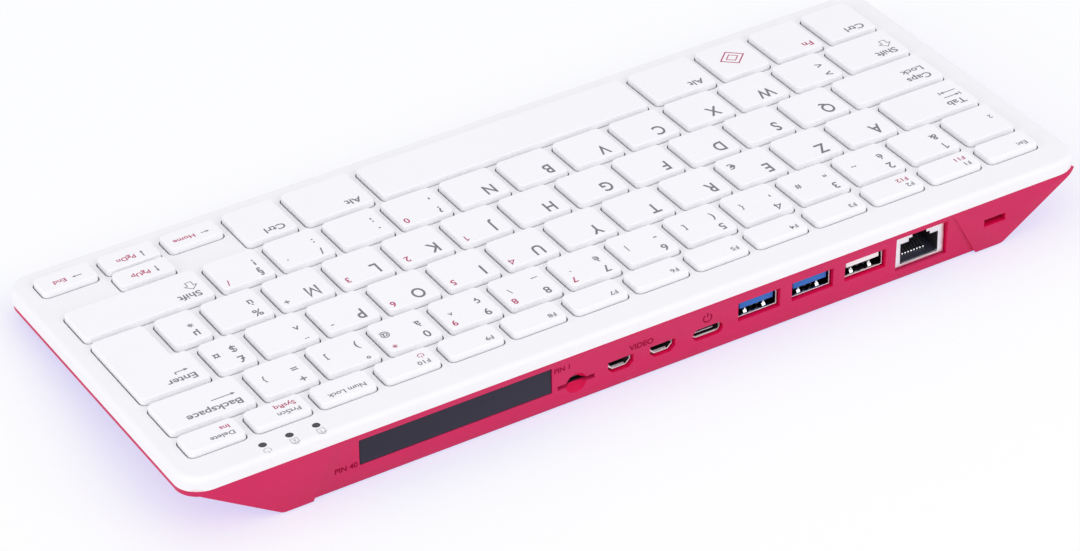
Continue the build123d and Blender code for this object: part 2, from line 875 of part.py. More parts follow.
with BuildPart() as data_shells:
    with BuildSketch(rear_plane):
        for x in data_xs:
            with Locations((-x, data_middle)):
                Rectangle(data_width, data_height)
    extrude(amount=-data_depth)
    with BuildSketch(rear_plane):
        for x in data_xs:
            with Locations((-x, data_middle)):
                Rectangle(data_width - 2 * data_wall, data_height - 2 * data_wall)
    extrude(amount=data_wall - data_depth, mode=Mode.SUBTRACT)
    with BuildSketch(Plane.XY.offset(board_top)):
        for x in data_xs:
            with Locations((x, mouth - data_depth / 2)):
                with GridLocations(data_width - data_leg, 0, 2, 1):
                    Rectangle(data_leg, data_leg_depth)
    extrude(amount=data_bottom - board_top)
write_part(data_shells.part, "data_shells")


def make_tongues(name, xs):
    with BuildPart() as tongues:
        with BuildSketch(rear_plane.offset(data_wall - data_depth)):
            for x in xs:
                with Locations((-x, data_middle)):
                    Rectangle(
                        data_width - 2 * (data_wall + data_fit),
                        data_height - 2 * (data_wall + data_fit),
                    )
        extrude(amount=insert_depth)
        with BuildSketch(rear_plane.offset(-tongue_setback)):
            for x in xs:
                with Locations((-x, data_middle + tongue_rise)):
                    Rectangle(tongue_width, tongue_height)
        extrude(amount=tongue_setback + data_wall + insert_depth - data_depth)
    write_part(tongues.part, name)


make_tongues("fast_data_tongues", fast_data_xs)
make_tongues("data_tongue", [plain_data_x])

# Power and video sockets on the board, with thin tongues
small_wall = 0.3
small_back = 2.0
power_tongue = 6.6
video_tongue = 4.4
thin_tongue = 0.7
thin_setback = 1.2

with BuildPart() as small_socket_shells:
    with BuildSketch(rear_plane):
        with Locations((-power_x, power_middle)):
            power_outline(0)
        for x in video_xs:
            with Locations((-x, video_middle)):
                video_outline(0)
    extrude(amount=-power_depth)
    with BuildSketch(rear_plane):
        with Locations((-power_x, power_middle)):
            power_outline(-small_wall)
        for x in video_xs:
            with Locations((-x, video_middle)):
                video_outline(-small_wall)
    extrude(amount=small_back - power_depth, mode=Mode.SUBTRACT)
write_part(small_socket_shells.part, "small_socket_shells")

with BuildPart() as small_socket_tongues:
    with BuildSketch(rear_plane.offset(-thin_setback)):
        with Locations((-power_x, power_middle)):
            Rectangle(power_tongue, thin_tongue)
        for x in video_xs:
            with Locations((-x, video_middle)):
                Rectangle(video_tongue, thin_tongue)
    extrude(amount=thin_setback + small_back - power_depth)
write_part(small_socket_tongues.part, "small_socket_tongues")

# Memory card socket on the board, behind the slot
card_width = 13.6
card_depth = 13.0
card_height = 2.3
card_slot = 11.4
card_slot_height = 0.9
card_back = 1.0
card_mouth = wall_inside - board_gap
with BuildPart() as card_socket:
    with BuildSketch(Plane(origin=(0, card_mouth, 0), x_dir=(-1, 0, 0), z_dir=(0, 1, 0))):
        with Locations((-card_x, board_top + card_height / 2)):
            Rectangle(card_width, card_height)
    extrude(amount=-card_depth)
    with BuildSketch(Plane(origin=(0, card_mouth, 0), x_dir=(-1, 0, 0), z_dir=(0, 1, 0))):
        with Locations((-card_x, board_top + card_height / 2)):
            Rectangle(card_slot, card_slot_height)
    extrude(amount=card_back - card_depth, mode=Mode.SUBTRACT)
write_part(card_socket.part, "card_socket")

# Pin header under its pull-off cover
pin_size = 0.64
pin_length = 5.8
header_depth = 6.0
header_height = 6.8
header_setback = 7.0
header_rear = mouth - header_setback
header_face = Plane(origin=(0, header_rear, 0), x_dir=(-1, 0, 0), z_dir=(0, 1, 0))

with BuildPart() as pin_header:
    with BuildSketch(header_face):
        with Locations((-header_x, board_top)):
            Rectangle(header_width, header_height, align=(Align.CENTER, Align.MIN))
    extrude(amount=-header_depth)
write_part(pin_header.part, "pin_header")

with BuildPart() as header_pins:
    with BuildSketch(header_face):
        with Locations((-header_x, cover_middle)):
            with GridLocations(pin_pitch, pin_pitch, pin_columns, pin_rows):
                Rectangle(pin_size, pin_size)
    extrude(amount=pin_length)
write_part(header_pins.part, "header_pins")

with BuildPart() as header_cover:
    with BuildSketch(Plane(origin=(0, cover_front, 0), x_dir=(-1, 0, 0), z_dir=(0, 1, 0))):
        with Locations((-header_x, cover_middle)):
            Rectangle(cover_width, cover_height)
    extrude(amount=-cover_depth)
    with BuildSketch(Plane(origin=(0, cover_front - cover_plate, 0), x_dir=(-1, 0, 0), z_dir=(0, 1, 0))):
        with Locations((-header_x, cover_middle)):
            Rectangle(cover_width - 2 * cover_wall, cover_height - 2 * cover_wall)
    extrude(amount=-cover_depth, mode=Mode.SUBTRACT)
write_part(header_cover.part, "header_cover")
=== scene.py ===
import json
from math import atan2, cos, degrees, pi, radians, sin, tan

import bmesh
import bpy
from mathutils import Matrix, Quaternion, Vector


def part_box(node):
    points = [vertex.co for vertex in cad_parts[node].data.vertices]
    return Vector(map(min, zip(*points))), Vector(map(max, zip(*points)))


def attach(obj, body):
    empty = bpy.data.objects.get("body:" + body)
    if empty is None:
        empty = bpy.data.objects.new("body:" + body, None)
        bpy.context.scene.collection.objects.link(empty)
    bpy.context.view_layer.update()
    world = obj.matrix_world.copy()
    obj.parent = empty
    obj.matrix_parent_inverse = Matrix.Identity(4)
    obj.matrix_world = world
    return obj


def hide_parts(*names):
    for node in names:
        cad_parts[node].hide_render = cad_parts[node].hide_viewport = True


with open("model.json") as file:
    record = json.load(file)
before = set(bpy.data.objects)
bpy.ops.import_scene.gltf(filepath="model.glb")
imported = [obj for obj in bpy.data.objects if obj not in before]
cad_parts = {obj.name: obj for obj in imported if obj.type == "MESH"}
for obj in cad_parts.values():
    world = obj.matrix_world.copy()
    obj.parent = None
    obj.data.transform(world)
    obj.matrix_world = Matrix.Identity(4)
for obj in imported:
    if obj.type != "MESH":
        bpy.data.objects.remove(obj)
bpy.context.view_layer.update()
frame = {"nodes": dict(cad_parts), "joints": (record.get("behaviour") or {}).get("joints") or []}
mm = 0.001  # sizes below are in millimetres where nothing else is said

# Grid of the keys, on the deck's own plane: u to the typist's right, v to the rear, w up from the deck
keyGrid = {
    "pitch": 19.05, "gap": 2.6, "rowPitch": 18.56, "rowGap": 2.2,
    "functionDepth": 9.6, "bottomDepth": 19.2, "halfDepth": 9.2,
    "rowUnits": 14.5, "functionCount": 14, "arrowColumns": 3, "enterUnits": 1.25,
    "shift": 1.0, "rearMargin": 10.5,
}

# Deck: a thin plate with a rolled edge, tilted towards the typist
deck = {
    "rearHeight": 21.95, "plate": 1.4, "side": 4.4, "wall": 2.0, "weld": 0.002, "sharp": 40.0,
    "corner": 8.0, "cornerSteps": 10, "edge": 1.6, "edgeSteps": 6, "rimWidth": 4.0, "support": 0.05,
    "holeClearance": 0.35, "holeEdge": 0.1, "holeEdgeSteps": 3,
    "lightRadius": 1.15, "lightSteps": 20, "lightPitch": 8.0, "lightInset": 33.25, "lightSetback": 5.0,
}

pressAxis = next(joint["axis"] for joint in frame["joints"] if joint["name"] == "space_bar_press")
deckTilt = atan2(pressAxis[1], -pressAxis[2])
deckLow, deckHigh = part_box("keyboard_deck")
halfWidth = (deckHigh.x - deckLow.x) / 2 / mm
halfDepth = (deckHigh.y - deckLow.y) / 2 / mm
deckMiddle = deck["rearHeight"] - halfDepth * tan(deckTilt)
toMetres = Matrix.Scale(mm, 4)
deckToModel = toMetres @ Matrix.Translation((0, 0, deckMiddle)) @ Matrix.Rotation(deckTilt, 4, "X")
print("deck tilt", round(degrees(deckTilt), 2), "half size", round(halfWidth, 2), round(halfDepth, 2))


# Helpers for settings, and for the nodes of materials and repeated shapes

def setAll(item, **settings):
    for name, value in settings.items():
        setattr(item, name, value)
    return item


def setInputs(node, inputs):
    # Each input is set to a value, or joined to another node's output
    for slot, value in dict(inputs).items():
        if isinstance(value, bpy.types.NodeSocket):
            node.id_data.links.new(value, node.inputs[slot])
        else:
            node.inputs[slot].default_value = value


def addNode(tree, kind, inputs=(), **settings):
    node = setAll(tree.nodes.new(kind), **settings)
    setInputs(node, inputs)
    return node


def outputOf(tree, kind, inputs=(), output=0, **settings):
    return addNode(tree, kind, inputs, **settings).outputs[output]


def mathNode(tree, operation, *values):
    return outputOf(tree, "ShaderNodeMath", enumerate(values), operation=operation)


# Materials

noiseSpan = (0.3, 0.7)  # most of a noise texture's values lie in here
rolledAlong = (1, 0.08, 1)  # lines of a metal sheet that was rolled along y
mould = {"cloud": 55, "detail": 3, "spread": (0.05, 0.06), "bump": 0.35}
metal = {
    "lines": (900, 4), "patches": (160, 2), "shade": 0.86, "spread": (0.06, 0.1), "bump": 0.12, "depth": 20,
}
micron = 0.000001
# Colour of the painted shade deep inside the sockets
paintedSocketShade = (0.012, 0.012, 0.014, 1)
mixSlots = {"factor": 0, "dark": 6, "bright": 7, "result": 2}  # a mix node's sockets for colours


def newMaterial(name, color, roughness, metallic=0.0):
    material = bpy.data.materials.new(name)
    material.use_nodes = True
    tree = material.node_tree
    shader = tree.nodes["Principled BSDF"]
    setInputs(shader, {"Base Color": (*color, 1), "Roughness": roughness, "Metallic": metallic})
    return material, tree, shader


def objectPlace(tree):
    return outputOf(tree, "ShaderNodeTexCoord", (), "Object")


def noiseOn(tree, scale, detail, stretch=(1, 1, 1)):
    place = outputOf(tree, "ShaderNodeMapping", {"Vector": objectPlace(tree), "Scale": stretch})
    return outputOf(tree, "ShaderNodeTexNoise", {"Vector": place, "Scale": scale, "Detail": detail}, "Fac")


def mapRange(tree, value, span, low=0.0, high=1.0):
    inputs = {"Value": value, "From Min": span[0], "From Max": span[1], "To Min": low, "To Max": high}
    return outputOf(tree, "ShaderNodeMapRange", inputs)


def mixColors(tree, value, first, second):
    ramp = addNode(tree, "ShaderNodeValToRGB", {"Fac": value})
    for element, position, color in zip(ramp.color_ramp.elements, noiseSpan, (first, second)):
        element.position = position
        element.color = (*color, 1)
    return ramp.outputs["Color"]


def noisyMaterial(name, color, shade, roughness, kind, tint, dull, relief, depth, metallic=0.0, gloss=0.5):
    # Colour, roughness and relief each follow a noise, given by its scale, detail and stretch
    material, tree, shader = newMaterial(name, color, roughness, metallic)
    noise = {values: noiseOn(tree, *values) for values in (tint, dull, relief)}
    darker = [part * shade for part in color]
    smooth, rough = roughness - kind["spread"][0], roughness + kind["spread"][1]
    raised = {"Height": noise[relief], "Strength": kind["bump"], "Distance": depth * micron}
    inputs = {
        "Base Color": mixColors(tree, noise[tint], darker, color),
        "Roughness": mapRange(tree, noise[dull], noiseSpan, smooth, rough),
        "Normal": outputOf(tree, "ShaderNodeBump", raised),
        "Specular IOR Level": gloss,
    }
    setInputs(shader, inputs)
    return material


def mouldedPlastic(name, color, shade, roughness, grain, depth, gloss=0.5):
    # A satin moulding: faint cloudy colour, uneven gloss and a fine spark-eroded grain
    cloud, fine = (mould["cloud"], mould["detail"]), (grain, mould["detail"])
    return noisyMaterial(name, color, shade, roughness, mould, cloud, fine, fine, depth, 0.0, gloss)


def sheetMetal(name, color, roughness, stretch, metallic=1.0):
    # Rolled or tinned sheet: fine lines along one way and a few dull patches
    lines, patches = (*metal["lines"], stretch), metal["patches"]
    return noisyMaterial(
        name, color, metal["shade"], roughness, metal, lines, patches, lines, metal["depth"], metallic
    )


def steelWithPaintedShade(name, color, roughness, shine, dark, metallic):
    # Sheet metal with a painted shine at the sockets' mouth, falling into painted shade between two depths
    # behind it
    material = sheetMetal(name, color, roughness, rolledAlong, metallic)
    tree = material.node_tree
    shader = tree.nodes["Principled BSDF"]
    bright = shader.inputs["Base Color"].links[0].from_socket
    depth = outputOf(tree, "ShaderNodeSeparateXYZ", {0: objectPlace(tree)}, "Y")
    lit = mapRange(tree, depth, ((mouth - dark) * mm, (mouth - shine) * mm))
    inputs = {mixSlots["factor"]: lit, mixSlots["dark"]: paintedSocketShade, mixSlots["bright"]: bright}
    mix = outputOf(tree, "ShaderNodeMix", inputs, mixSlots["result"], data_type="RGBA")
    setInputs(shader, {"Base Color": mix})
    return material


# Moulded finishes: colour, its share in darker clouds, roughness, scale and depth (micron) of the grain, gloss
plastics = {
    "crimsonPlastic": ((0.6, 0.0125, 0.098), 0.95, 0.5, 5200, 30, 0.3),
    "dishBouncePlastic": ((0.64, 0.003, 0.07), 0.95, 0.5, 5200, 20, 0.12),
    "sillLitPlastic": ((0.76, 0.002, 0.08), 0.95, 0.5, 5200, 20, 0.12),
    "whitePlastic": ((0.868, 0.868, 0.878), 0.99, 0.5, 5200, 20, 0.2),
    "keyPlastic": ((0.885, 0.885, 0.9), 0.99, 0.5, 6000, 20, 0.3),
    "gapShadePlastic": ((0.63, 0.63, 0.66), 0.95, 0.6, 6000, 20, 0.2),
    "coverPlastic": ((0.022, 0.02, 0.038), 0.92, 0.6, 4200, 30, 0.28),
    "blackPlastic": ((0.014, 0.014, 0.016), 0.8, 0.45, 4200, 20),
    "ledgeSheenPlastic": ((0.045, 0.05, 0.075), 0.85, 0.4, 4200, 20),
    "bluePlastic": ((0.007, 0.14, 0.54), 0.9, 0.35, 4200, 20),
    "tonguePlastic": ((0.92, 0.92, 0.92), 0.98, 0.4, 4200, 20),
    "framePlastic": ((0.74, 0.74, 0.75), 0.95, 0.45, 4200, 20),
    "smokedPlastic": ((0.03, 0.03, 0.034), 0.9, 0.25, 4200, 10),
    "footRubber": ((0.03, 0.03, 0.03), 0.85, 0.75, 2600, 50),
    "domeRubber": ((0.72, 0.72, 0.7), 0.95, 0.55, 2600, 20),
    "padRubber": ((0.3, 0.32, 0.34), 0.9, 0.7, 2600, 40),
    "membraneFilm": ((0.55, 0.62, 0.6), 0.92, 0.2, 900, 10),
    "boardMask": ((0.02, 0.16, 0.06), 0.8, 0.35, 700, 10),
    "darkInk": ((0.2, 0.2, 0.222), 0.95, 0.7, 3000, 10, 0.2),
    "crimsonInk": ((0.47, 0.07, 0.145), 0.95, 0.7, 3000, 10, 0.2),
    "paleInk": ((0.45, 0.45, 0.47), 0.92, 0.6, 3000, 10),
    "sunkMarkShade": ((0.3, 0.0, 0.03), 0.92, 0.7, 3000, 10, 0.1),
}

# Metal finishes: colour, roughness and how its lines are stretched along each axis
metals = {
    "shellSteel": ((0.84, 0.84, 0.85), 0.28, rolledAlong),
    "shadedSteel": ((0.09, 0.09, 0.1), 0.42, rolledAlong),
    "springSteel": ((0.8, 0.8, 0.8), 0.24, (1, 0.3, 1)),
    "stripShadeSteel": ((0.3, 0.3, 0.31), 0.34, (1, 0.3, 1)),
    "nickelSteel": ((0.95, 0.95, 0.96), 0.36, rolledAlong),
    "plateSteel": ((0.56, 0.56, 0.57), 0.36, (0.05, 1, 1)),
    "chipMetal": ((0.5, 0.5, 0.5), 0.4, (0.2, 1, 1)),
    "spreaderAluminium": ((0.72, 0.73, 0.74), 0.38, (0.04, 1, 1)),
    "contactGold": ((0.86, 0.62, 0.26), 0.25, (1, 0.1, 1)),
}
finish = {name: mouldedPlastic(name, *values) for name, values in plastics.items()}
finish |= {name: sheetMetal(name, *values) for name, values in metals.items()}
print("materials", len(finish))


# Mesh helpers

def quarterTurn(steps):
    return [step / steps * pi / 2 for step in range(steps + 1)]


def outlineRing(corners, inset, radius, steps):
    # Square-cornered outline, counter-clockwise, moved in by inset and rounded at every corner
    least = 0.01
    ring = []
    for index, here in enumerate(corners):
        back = (corners[index - 1] - here).normalized()
        ahead = (corners[(index + 1) % len(corners)] - here).normalized()
        side = 1 if ahead.cross(back) > 0 else -1
        bend = max(radius - inset * side, least)
        centre = here + (back + ahead) * (inset * side + bend)
        ring += [centre - (ahead * cos(swing) + back * sin(swing)) * bend for swing in quarterTurn(steps)]
    return ring


def rectangle(x, y, width, depth):
    left, right = x - width / 2, x + width / 2
    front, rear = y - depth / 2, y + depth / 2
    return [Vector(p) for p in ((left, front), (right, front), (right, rear), (left, rear))]


def arcPoints(x, y, radius, start, end, steps=18):
    turns = [radians(start + (end - start) * step / steps) for step in range(steps + 1)]
    return [Vector((x + radius * cos(turn), y + radius * sin(turn))) for turn in turns]


def atHeight(ring, height):
    return [Vector((point.x, point.y, height)) for point in ring]


def sidesOf(line, closed=False):
    # At each point of a line: the way across it, and the mitre that keeps a stroke's width round the bend
    sharpest = 0.4
    last = len(line) - 1
    sides = []
    for index, here in enumerate(line):
        ways = []
        if index > 0 or closed:
            ways.append((here - line[index - 1]).normalized())
        if index < last or closed:
            ways.append((line[(index + 1) % len(line)] - here).normalized())
        way = sum(ways, Vector((0, 0))).normalized()
        side = Vector((-way.y, way.x))
        sides.append((side, 1 / max(side.dot(Vector((-ways[0].y, ways[0].x))), sharpest)))
    return sides


def loft(bm, rings, capped=True):
    rows = [[bm.verts.new(point) for point in ring] for ring in rings]
    for low, high in zip(rows, rows[1:]):
        for index in range(len(low)):
            after = (index + 1) % len(low)
            bm.faces.new((low[index], low[after], high[after], high[index]))
    if capped:
        bm.faces.new(reversed(rows[0]))
        bm.faces.new(rows[-1])


def smoothMesh(mesh, sharp=35.0):
    mesh.polygons.foreach_set("use_smooth", [True] * len(mesh.polygons))
    mesh.set_sharp_from_angle(angle=radians(sharp))
    mesh.update()


def toMesh(name, bm, matrix=Matrix(), sharp=35.0):
    mesh = bpy.data.meshes.new(name)
    bm.to_mesh(mesh)
    bm.free()
    mesh.transform(matrix)
    smoothMesh(mesh, sharp)
    return mesh


def newObject(name, data):
    item = bpy.data.objects.new(name, data)
    bpy.context.scene.collection.objects.link(item)
    return item


def bakedMesh(holder):
    # The finished mesh of a helper object, which is then removed
    bpy.context.view_layer.update()
    graph = bpy.context.evaluated_depsgraph_get()
    mesh = bpy.data.meshes.new_from_object(holder.evaluated_get(graph), depsgraph=graph)
    bpy.data.objects.remove(holder)
    return mesh


def pickFinish(mesh, choose):
    mesh.polygons.foreach_set("material_index", [int(choose(face)) for face in mesh.polygons])


def addPiece(name, mesh, nodes=(), finishes=(), body="chassis"):
    for finishName in finishes:
        mesh.materials.append(finish[finishName])
    piece = newObject(name, mesh)
    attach(piece, body)
    if nodes:
        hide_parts(*nodes)


# Node groups that repeat a shape

def groupTree(name, inputs, output):
    tree = bpy.data.node_groups.new(name, "GeometryNodeTree")
    sockets = {}
    for label, kind in inputs.items():
        socket = tree.interface.new_socket(label, in_out="INPUT", socket_type=f"NodeSocket{kind}")
        sockets[label] = socket.identifier
    tree.interface.new_socket(output, in_out="OUTPUT", socket_type="NodeSocketGeometry")
    return tree, sockets, tree.nodes.new("NodeGroupInput").outputs


def repeatOn(tree, points, shape):
    # The shape set on every point, as real mesh
    spread = outputOf(tree, "GeometryNodeInstanceOnPoints", {"Points": points, "Instance": shape})
    return outputOf(tree, "GeometryNodeRealizeInstances", {"Geometry": spread})


def closeTree(tree, shape, material):
    dressed = outputOf(tree, "GeometryNodeSetMaterial", {"Geometry": shape, "Material": material})
    addNode(tree, "NodeGroupOutput", {0: dressed})


def runTree(holder, group, values):
    tree, sockets = group
    modifier = holder.modifiers.new(tree.name, "NODES")
    modifier.node_group = tree
    for name, value in values.items():
        modifier[sockets[name]] = value
    return bakedMesh(holder)


# Key layout: every row from the typist's left, as (body, width in key pitches, legends)

functionWords = "Esc F1/F11 F2/F12 F3 F4 F5 F6 F7 F8 F9 F10/~ Num_Lock PrtScn/SysRq Delete/Ins".split()
numberSigns = ["", "1&", "2é~", "3\"#", "4'{", "5([", "6-|", "7è`7", "8_\\8", "9ç^9", "0à@*", "°)]", "+=}"]
numberPlaces = ("digit", "low", "right", "pad")
ownPlaces = {"@": "at", "'": "quote", "\"": "quote"}
letterExtras = {"e": [("€", "euro")], "p": [("-", "padSign")], "m": [("+", "padSign")]}
letterExtras |= {letter: [(digit, "pad")] for letter, digit in zip("uiojkl", "456123")}

pitch, gap, halfKey = keyGrid["pitch"], keyGrid["gap"], keyGrid["halfDepth"]
capWidth = pitch - gap
fieldWidth = keyGrid["rowUnits"] * pitch
fieldLeft = keyGrid["shift"] - fieldWidth / 2
fieldRight = keyGrid["shift"] + fieldWidth / 2
fieldBack = halfDepth / cos(deckTilt) - keyGrid["rearMargin"]
rowDepth = keyGrid["rowPitch"] - keyGrid["rowGap"]
numberBack = fieldBack - keyGrid["functionDepth"] - keyGrid["rowGap"]
upperBack, homeBack, lowerBack, bottomBack = (numberBack - keyGrid["rowPitch"] * row for row in (1, 2, 3, 4))
fieldFront = bottomBack - keyGrid["bottomDepth"]
functionShare = keyGrid["rowUnits"] / keyGrid["functionCount"]

keys = []  # every key as body, size (its middle, width and depth on the deck), corners and legends


def addKey(body, size, legends, corners=None):
    keys.append({"body": body, "size": size, "corners": corners or rectangle(*size), "legends": legends})


def keysOn(body):
    return [key for key in keys if key["body"] == body]


def layRow(back, depth, entries):
    left = fieldLeft
    for body, share, legends in entries:
        cell = share * pitch
        addKey(body, (left + cell / 2, back - depth / 2, cell - gap, depth), legends)
        left += cell
    return left


def letterRow(letters):
    return [
        (f"key_{letter}", 1, [(letter.upper(), "letter"), *letterExtras.get(letter, [])]) for letter in letters
    ]


def signKey(signs, extra=(), share=1):
    return ("symbol_keys", share, list(zip(signs, numberPlaces)) + list(extra))


def controlKey(share, word, sign, place="wordSign"):
    return ("control_keys", share, [(word, "word"), (sign, place)])


functionRow = []
for words in functionWords:
    parts = words.replace("_", " ").split("/")
    functionRow.append(("function_row_keys", functionShare, list(zip(parts, ("small", "smallRed")))))

numberRow = []
for signs in numberSigns:
    legends = [(sign, ownPlaces.get(sign, place)) for sign, place in zip(signs, numberPlaces)]
    numberRow.append(("number_row_keys", 1, legends or [("2", "square")]))
numberRow.append(controlKey(1.5, "Backspace", "leftArrow"))

upperRow = [controlKey(1.5, "Tab", "tabArrows")] + letterRow("azertyuiop")
upperRow += [signKey("¨^"), signKey("£$", [("¤", "near")], 0.75)]

homeRow = [controlKey(1.75, "Caps", "Lock", "wordLow")] + letterRow("qsdfghjklm")
homeRow += [signKey("%ù"), signKey("µ*", (), 0.75)]

lowerRow = [controlKey(1.25, "Shift", "shiftSign"), signKey("><")] + letterRow("wxcvbn")
lowerRow += [signKey("?,", [("0", "pad")]), signKey(".;"), signKey("/:", [(".", "padSign")])]
lowerRow += [signKey("§!", [("/", "pad")]), controlKey(2.25, "Shift", "shiftSign")]

leftBlock = [("Ctrl", 1, "word"), ("Fn", 1, "wordRed"), ("diamond", 1, "middle"), ("Alt", 1.25, "word")]
rightBlock = [("Alt", 1.3, "word"), ("Ctrl", 1, "word")]
takenShare = sum(share for word, share, place in leftBlock + rightBlock)
spaceShare = keyGrid["rowUnits"] - takenShare - keyGrid["arrowColumns"] * functionShare
bottomRow = [("control_keys", share, [(word, place)]) for word, share, place in leftBlock + rightBlock]
bottomRow.insert(len(leftBlock), ("space_bar", spaceShare, []))

layRow(fieldBack, keyGrid["functionDepth"], functionRow)
for back, row in ((numberBack, numberRow), (upperBack, upperRow), (homeBack, homeRow), (lowerBack, lowerRow)):
    layRow(back, rowDepth, row)
arrowLeft = layRow(bottomBack, keyGrid["bottomDepth"], bottomRow)

# Arrow cluster: three half-depth keys along the front and one behind the middle one
arrowCell = functionShare * pitch
halfRear = keyGrid["bottomDepth"] - halfKey - keyGrid["rowGap"] / 2
frontMiddle = fieldFront + halfKey / 2
arrowKeys = [
    (0, frontMiddle, halfKey, "arrowLeft", "Home"),
    (1, frontMiddle, halfKey, "arrowDown", "PgDn"),
    (1, bottomBack - halfRear / 2, halfRear, "arrowUp", "PgUp"),
    (2, frontMiddle, halfKey, "arrowRight", "End"),
]
for column, middle, depth, sign, word in arrowKeys:
    size = (arrowLeft + arrowCell * (column + 0.5), middle, arrowCell - gap, depth)
    addKey("control_keys", size, [(sign, "arrow"), (word, "arrowRed")])

# Enter key: L-shaped, with its wider half in the upper row
enterRight = fieldRight - gap / 2
enterTop = keyGrid["enterUnits"] * pitch - gap
enterStep = upperBack - rowDepth
enterFront = homeBack - rowDepth
enterOutline = (
    (capWidth, enterFront), (0, enterFront), (0, upperBack),
    (enterTop, upperBack), (enterTop, enterStep), (capWidth, enterStep),
)
enterCorners = [Vector((enterRight - inward, level)) for inward, level in enterOutline]
enterSize = (enterRight - enterTop / 2, upperBack - rowDepth / 2, enterTop, rowDepth)
addKey("enter_key", enterSize, [("Enter", "word"), ("enterArrow", "wordSign")], enterCorners)
keyBodies = list(dict.fromkeys(key["body"] for key in keys))


# Key caps

keyCap = {
    "rise": 1.9, "skirt": 0.5, "hidden": 0.05, "top": 1.1, "wall": 1.0, "draft": radians(5),
    "corner": 1.7, "cornerSteps": 6, "edge": 0.4, "edgeSteps": 4, "support": 0.06,
    "stem": 4.0, "stemTip": -2.7, "stemClear": 3.0,
}


def capProfile():
    # Inset and height from the hollow's ceiling, round the skirt and over the rolled top edge
    rise, edge, skirt, wall = (keyCap[name] for name in ("rise", "edge", "skirt", "wall"))
    slope = tan(keyCap["draft"])
    lean = (rise - edge + skirt) * slope
    profile = [(wall, rise - keyCap["top"]), (wall, -skirt), (0, -skirt)]
    profile.append(((skirt - keyCap["hidden"]) * slope, -keyCap["hidden"]))
    for swing in quarterTurn(keyCap["edgeSteps"]):
        profile.append((lean + edge * (1 - cos(swing)), rise - edge * (1 - sin(swing))))
    profile.append((lean + edge + keyCap["support"], rise))
    return profile


def capRing(corners, inset):
    return outlineRing(corners, inset, keyCap["corner"], keyCap["cornerSteps"])


def capMesh(name, corners, stemX, stemY):
    # A hollow cap on its stem, on the deck's own plane
    bm = bmesh.new()
    loft(bm, [atHeight(capRing(corners, inset), height) for inset, height in capProfile()])
    foot = rectangle(stemX, stemY, keyCap["stem"], keyCap["stem"])
    loft(bm, [atHeight(foot, keyCap["stemTip"]), atHeight(foot, keyCap["rise"] - keyCap["top"])])
    return toMesh(name, bm)


def keyCapTree():
    # One cap is set on every key's point and stretched to that key's width and depth, corners unchanged
    inputs = {"Keys": "Geometry", "Cap": "Object", "Cap Width": "Float", "Cap Depth": "Float"}
    inputs |= {"Stem Clear": "Float", "Plastic": "Material"}
    tree, sockets, source = groupTree("keyCaps", inputs, "Caps")
    cap = outputOf(tree, "GeometryNodeObjectInfo", {"Object": source["Cap"]}, "Geometry")
    place = outputOf(tree, "GeometryNodeInputPosition")
    stored = {"Geometry": cap, "Name": "capPlace", "Value": place}
    cap = outputOf(tree, "GeometryNodeStoreNamedAttribute", stored, data_type="FLOAT_VECTOR")
    caps = repeatOn(tree, source["Keys"], cap)

    def attribute(name, kind):
        return outputOf(tree, "GeometryNodeInputNamedAttribute", {"Name": name}, data_type=kind)

    split = addNode(tree, "ShaderNodeSeparateXYZ", {0: attribute("capPlace", "FLOAT_VECTOR")})
    shifts = []
    for slot, (size, base) in enumerate((("keyWidth", "Cap Width"), ("keyDepth", "Cap Depth"))):
        wider = mathNode(tree, "SUBTRACT", attribute(size, "FLOAT"), source[base])
        grow = mathNode(tree, "MULTIPLY", wider, 0.5)
        distance = mathNode(tree, "ABSOLUTE", split.outputs[slot])
        outside = mathNode(tree, "GREATER_THAN", distance, source["Stem Clear"])
        signed = mathNode(tree, "MULTIPLY", mathNode(tree, "SIGN", split.outputs[slot]), outside)
        shifts.append(mathNode(tree, "MULTIPLY", grow, signed))
    offset = outputOf(tree, "ShaderNodeCombineXYZ", enumerate(shifts))
    caps = outputOf(tree, "GeometryNodeSetPosition", {"Geometry": caps, "Offset": offset})
    closeTree(tree, caps, source["Plastic"])
    return tree, sockets


def capsFor(body):
    places = [key["size"] for key in keysOn(body)]
    points = bpy.data.meshes.new(f"{body}_places")
    points.from_pydata([(x, y, 0) for x, y, width, depth in places], [], [])
    for name, slot in (("keyWidth", 2), ("keyDepth", 3)):
        attribute = points.attributes.new(name, "FLOAT", "POINT")
        attribute.data.foreach_set("value", [place[slot] for place in places])
    values = {
        "Cap": baseCap, "Cap Width": capWidth, "Cap Depth": rowDepth,
        "Stem Clear": keyCap["stemClear"], "Plastic": finish["keyPlastic"],
    }
    mesh = runTree(newObject(f"{body}_places", points), capGroup, values)
    for name in ("capPlace", "keyWidth", "keyDepth"):
        mesh.attributes.remove(mesh.attributes[name])
    mesh.materials.clear()
    return mesh


baseCap = newObject("baseCap", capMesh("baseCap", rectangle(0, 0, capWidth, rowDepth), 0, 0))
capGroup = keyCapTree()
enterStem = (enterRight - capWidth / 2, upperBack - (rowDepth + keyGrid["rowPitch"]) / 2)
for body in keyBodies:
    enter = body == "enter_key"
    mesh = capMesh(f"cap_{body}", enterCorners, *enterStem) if enter else capsFor(body)
    # The faces that stay below the deck get the second finish, a grey that is painted shade in the gaps round
    # the keys
    pickFinish(mesh, lambda face: face.center.z < -keyCap["hidden"])
    mesh.transform(deckToModel)
    smoothMesh(mesh)
    addPiece(f"cap_{body}", mesh, [body], ["keyPlastic", "gapShadePlastic"], body)
bpy.data.objects.remove(baseCap)
print("caps made")


# Legends: printed text and signs, a little over the caps

printing = {
    "lift": 0.004, "height": 0.012, "stroke": 0.36, "bolder": 0.016, "curveSteps": 3,
    "letterWidth": 0.7, "signWidth": 0.86, "drawnStroke": 0.13, "arrowHead": 1.25, "smallHead": 1.0,
}

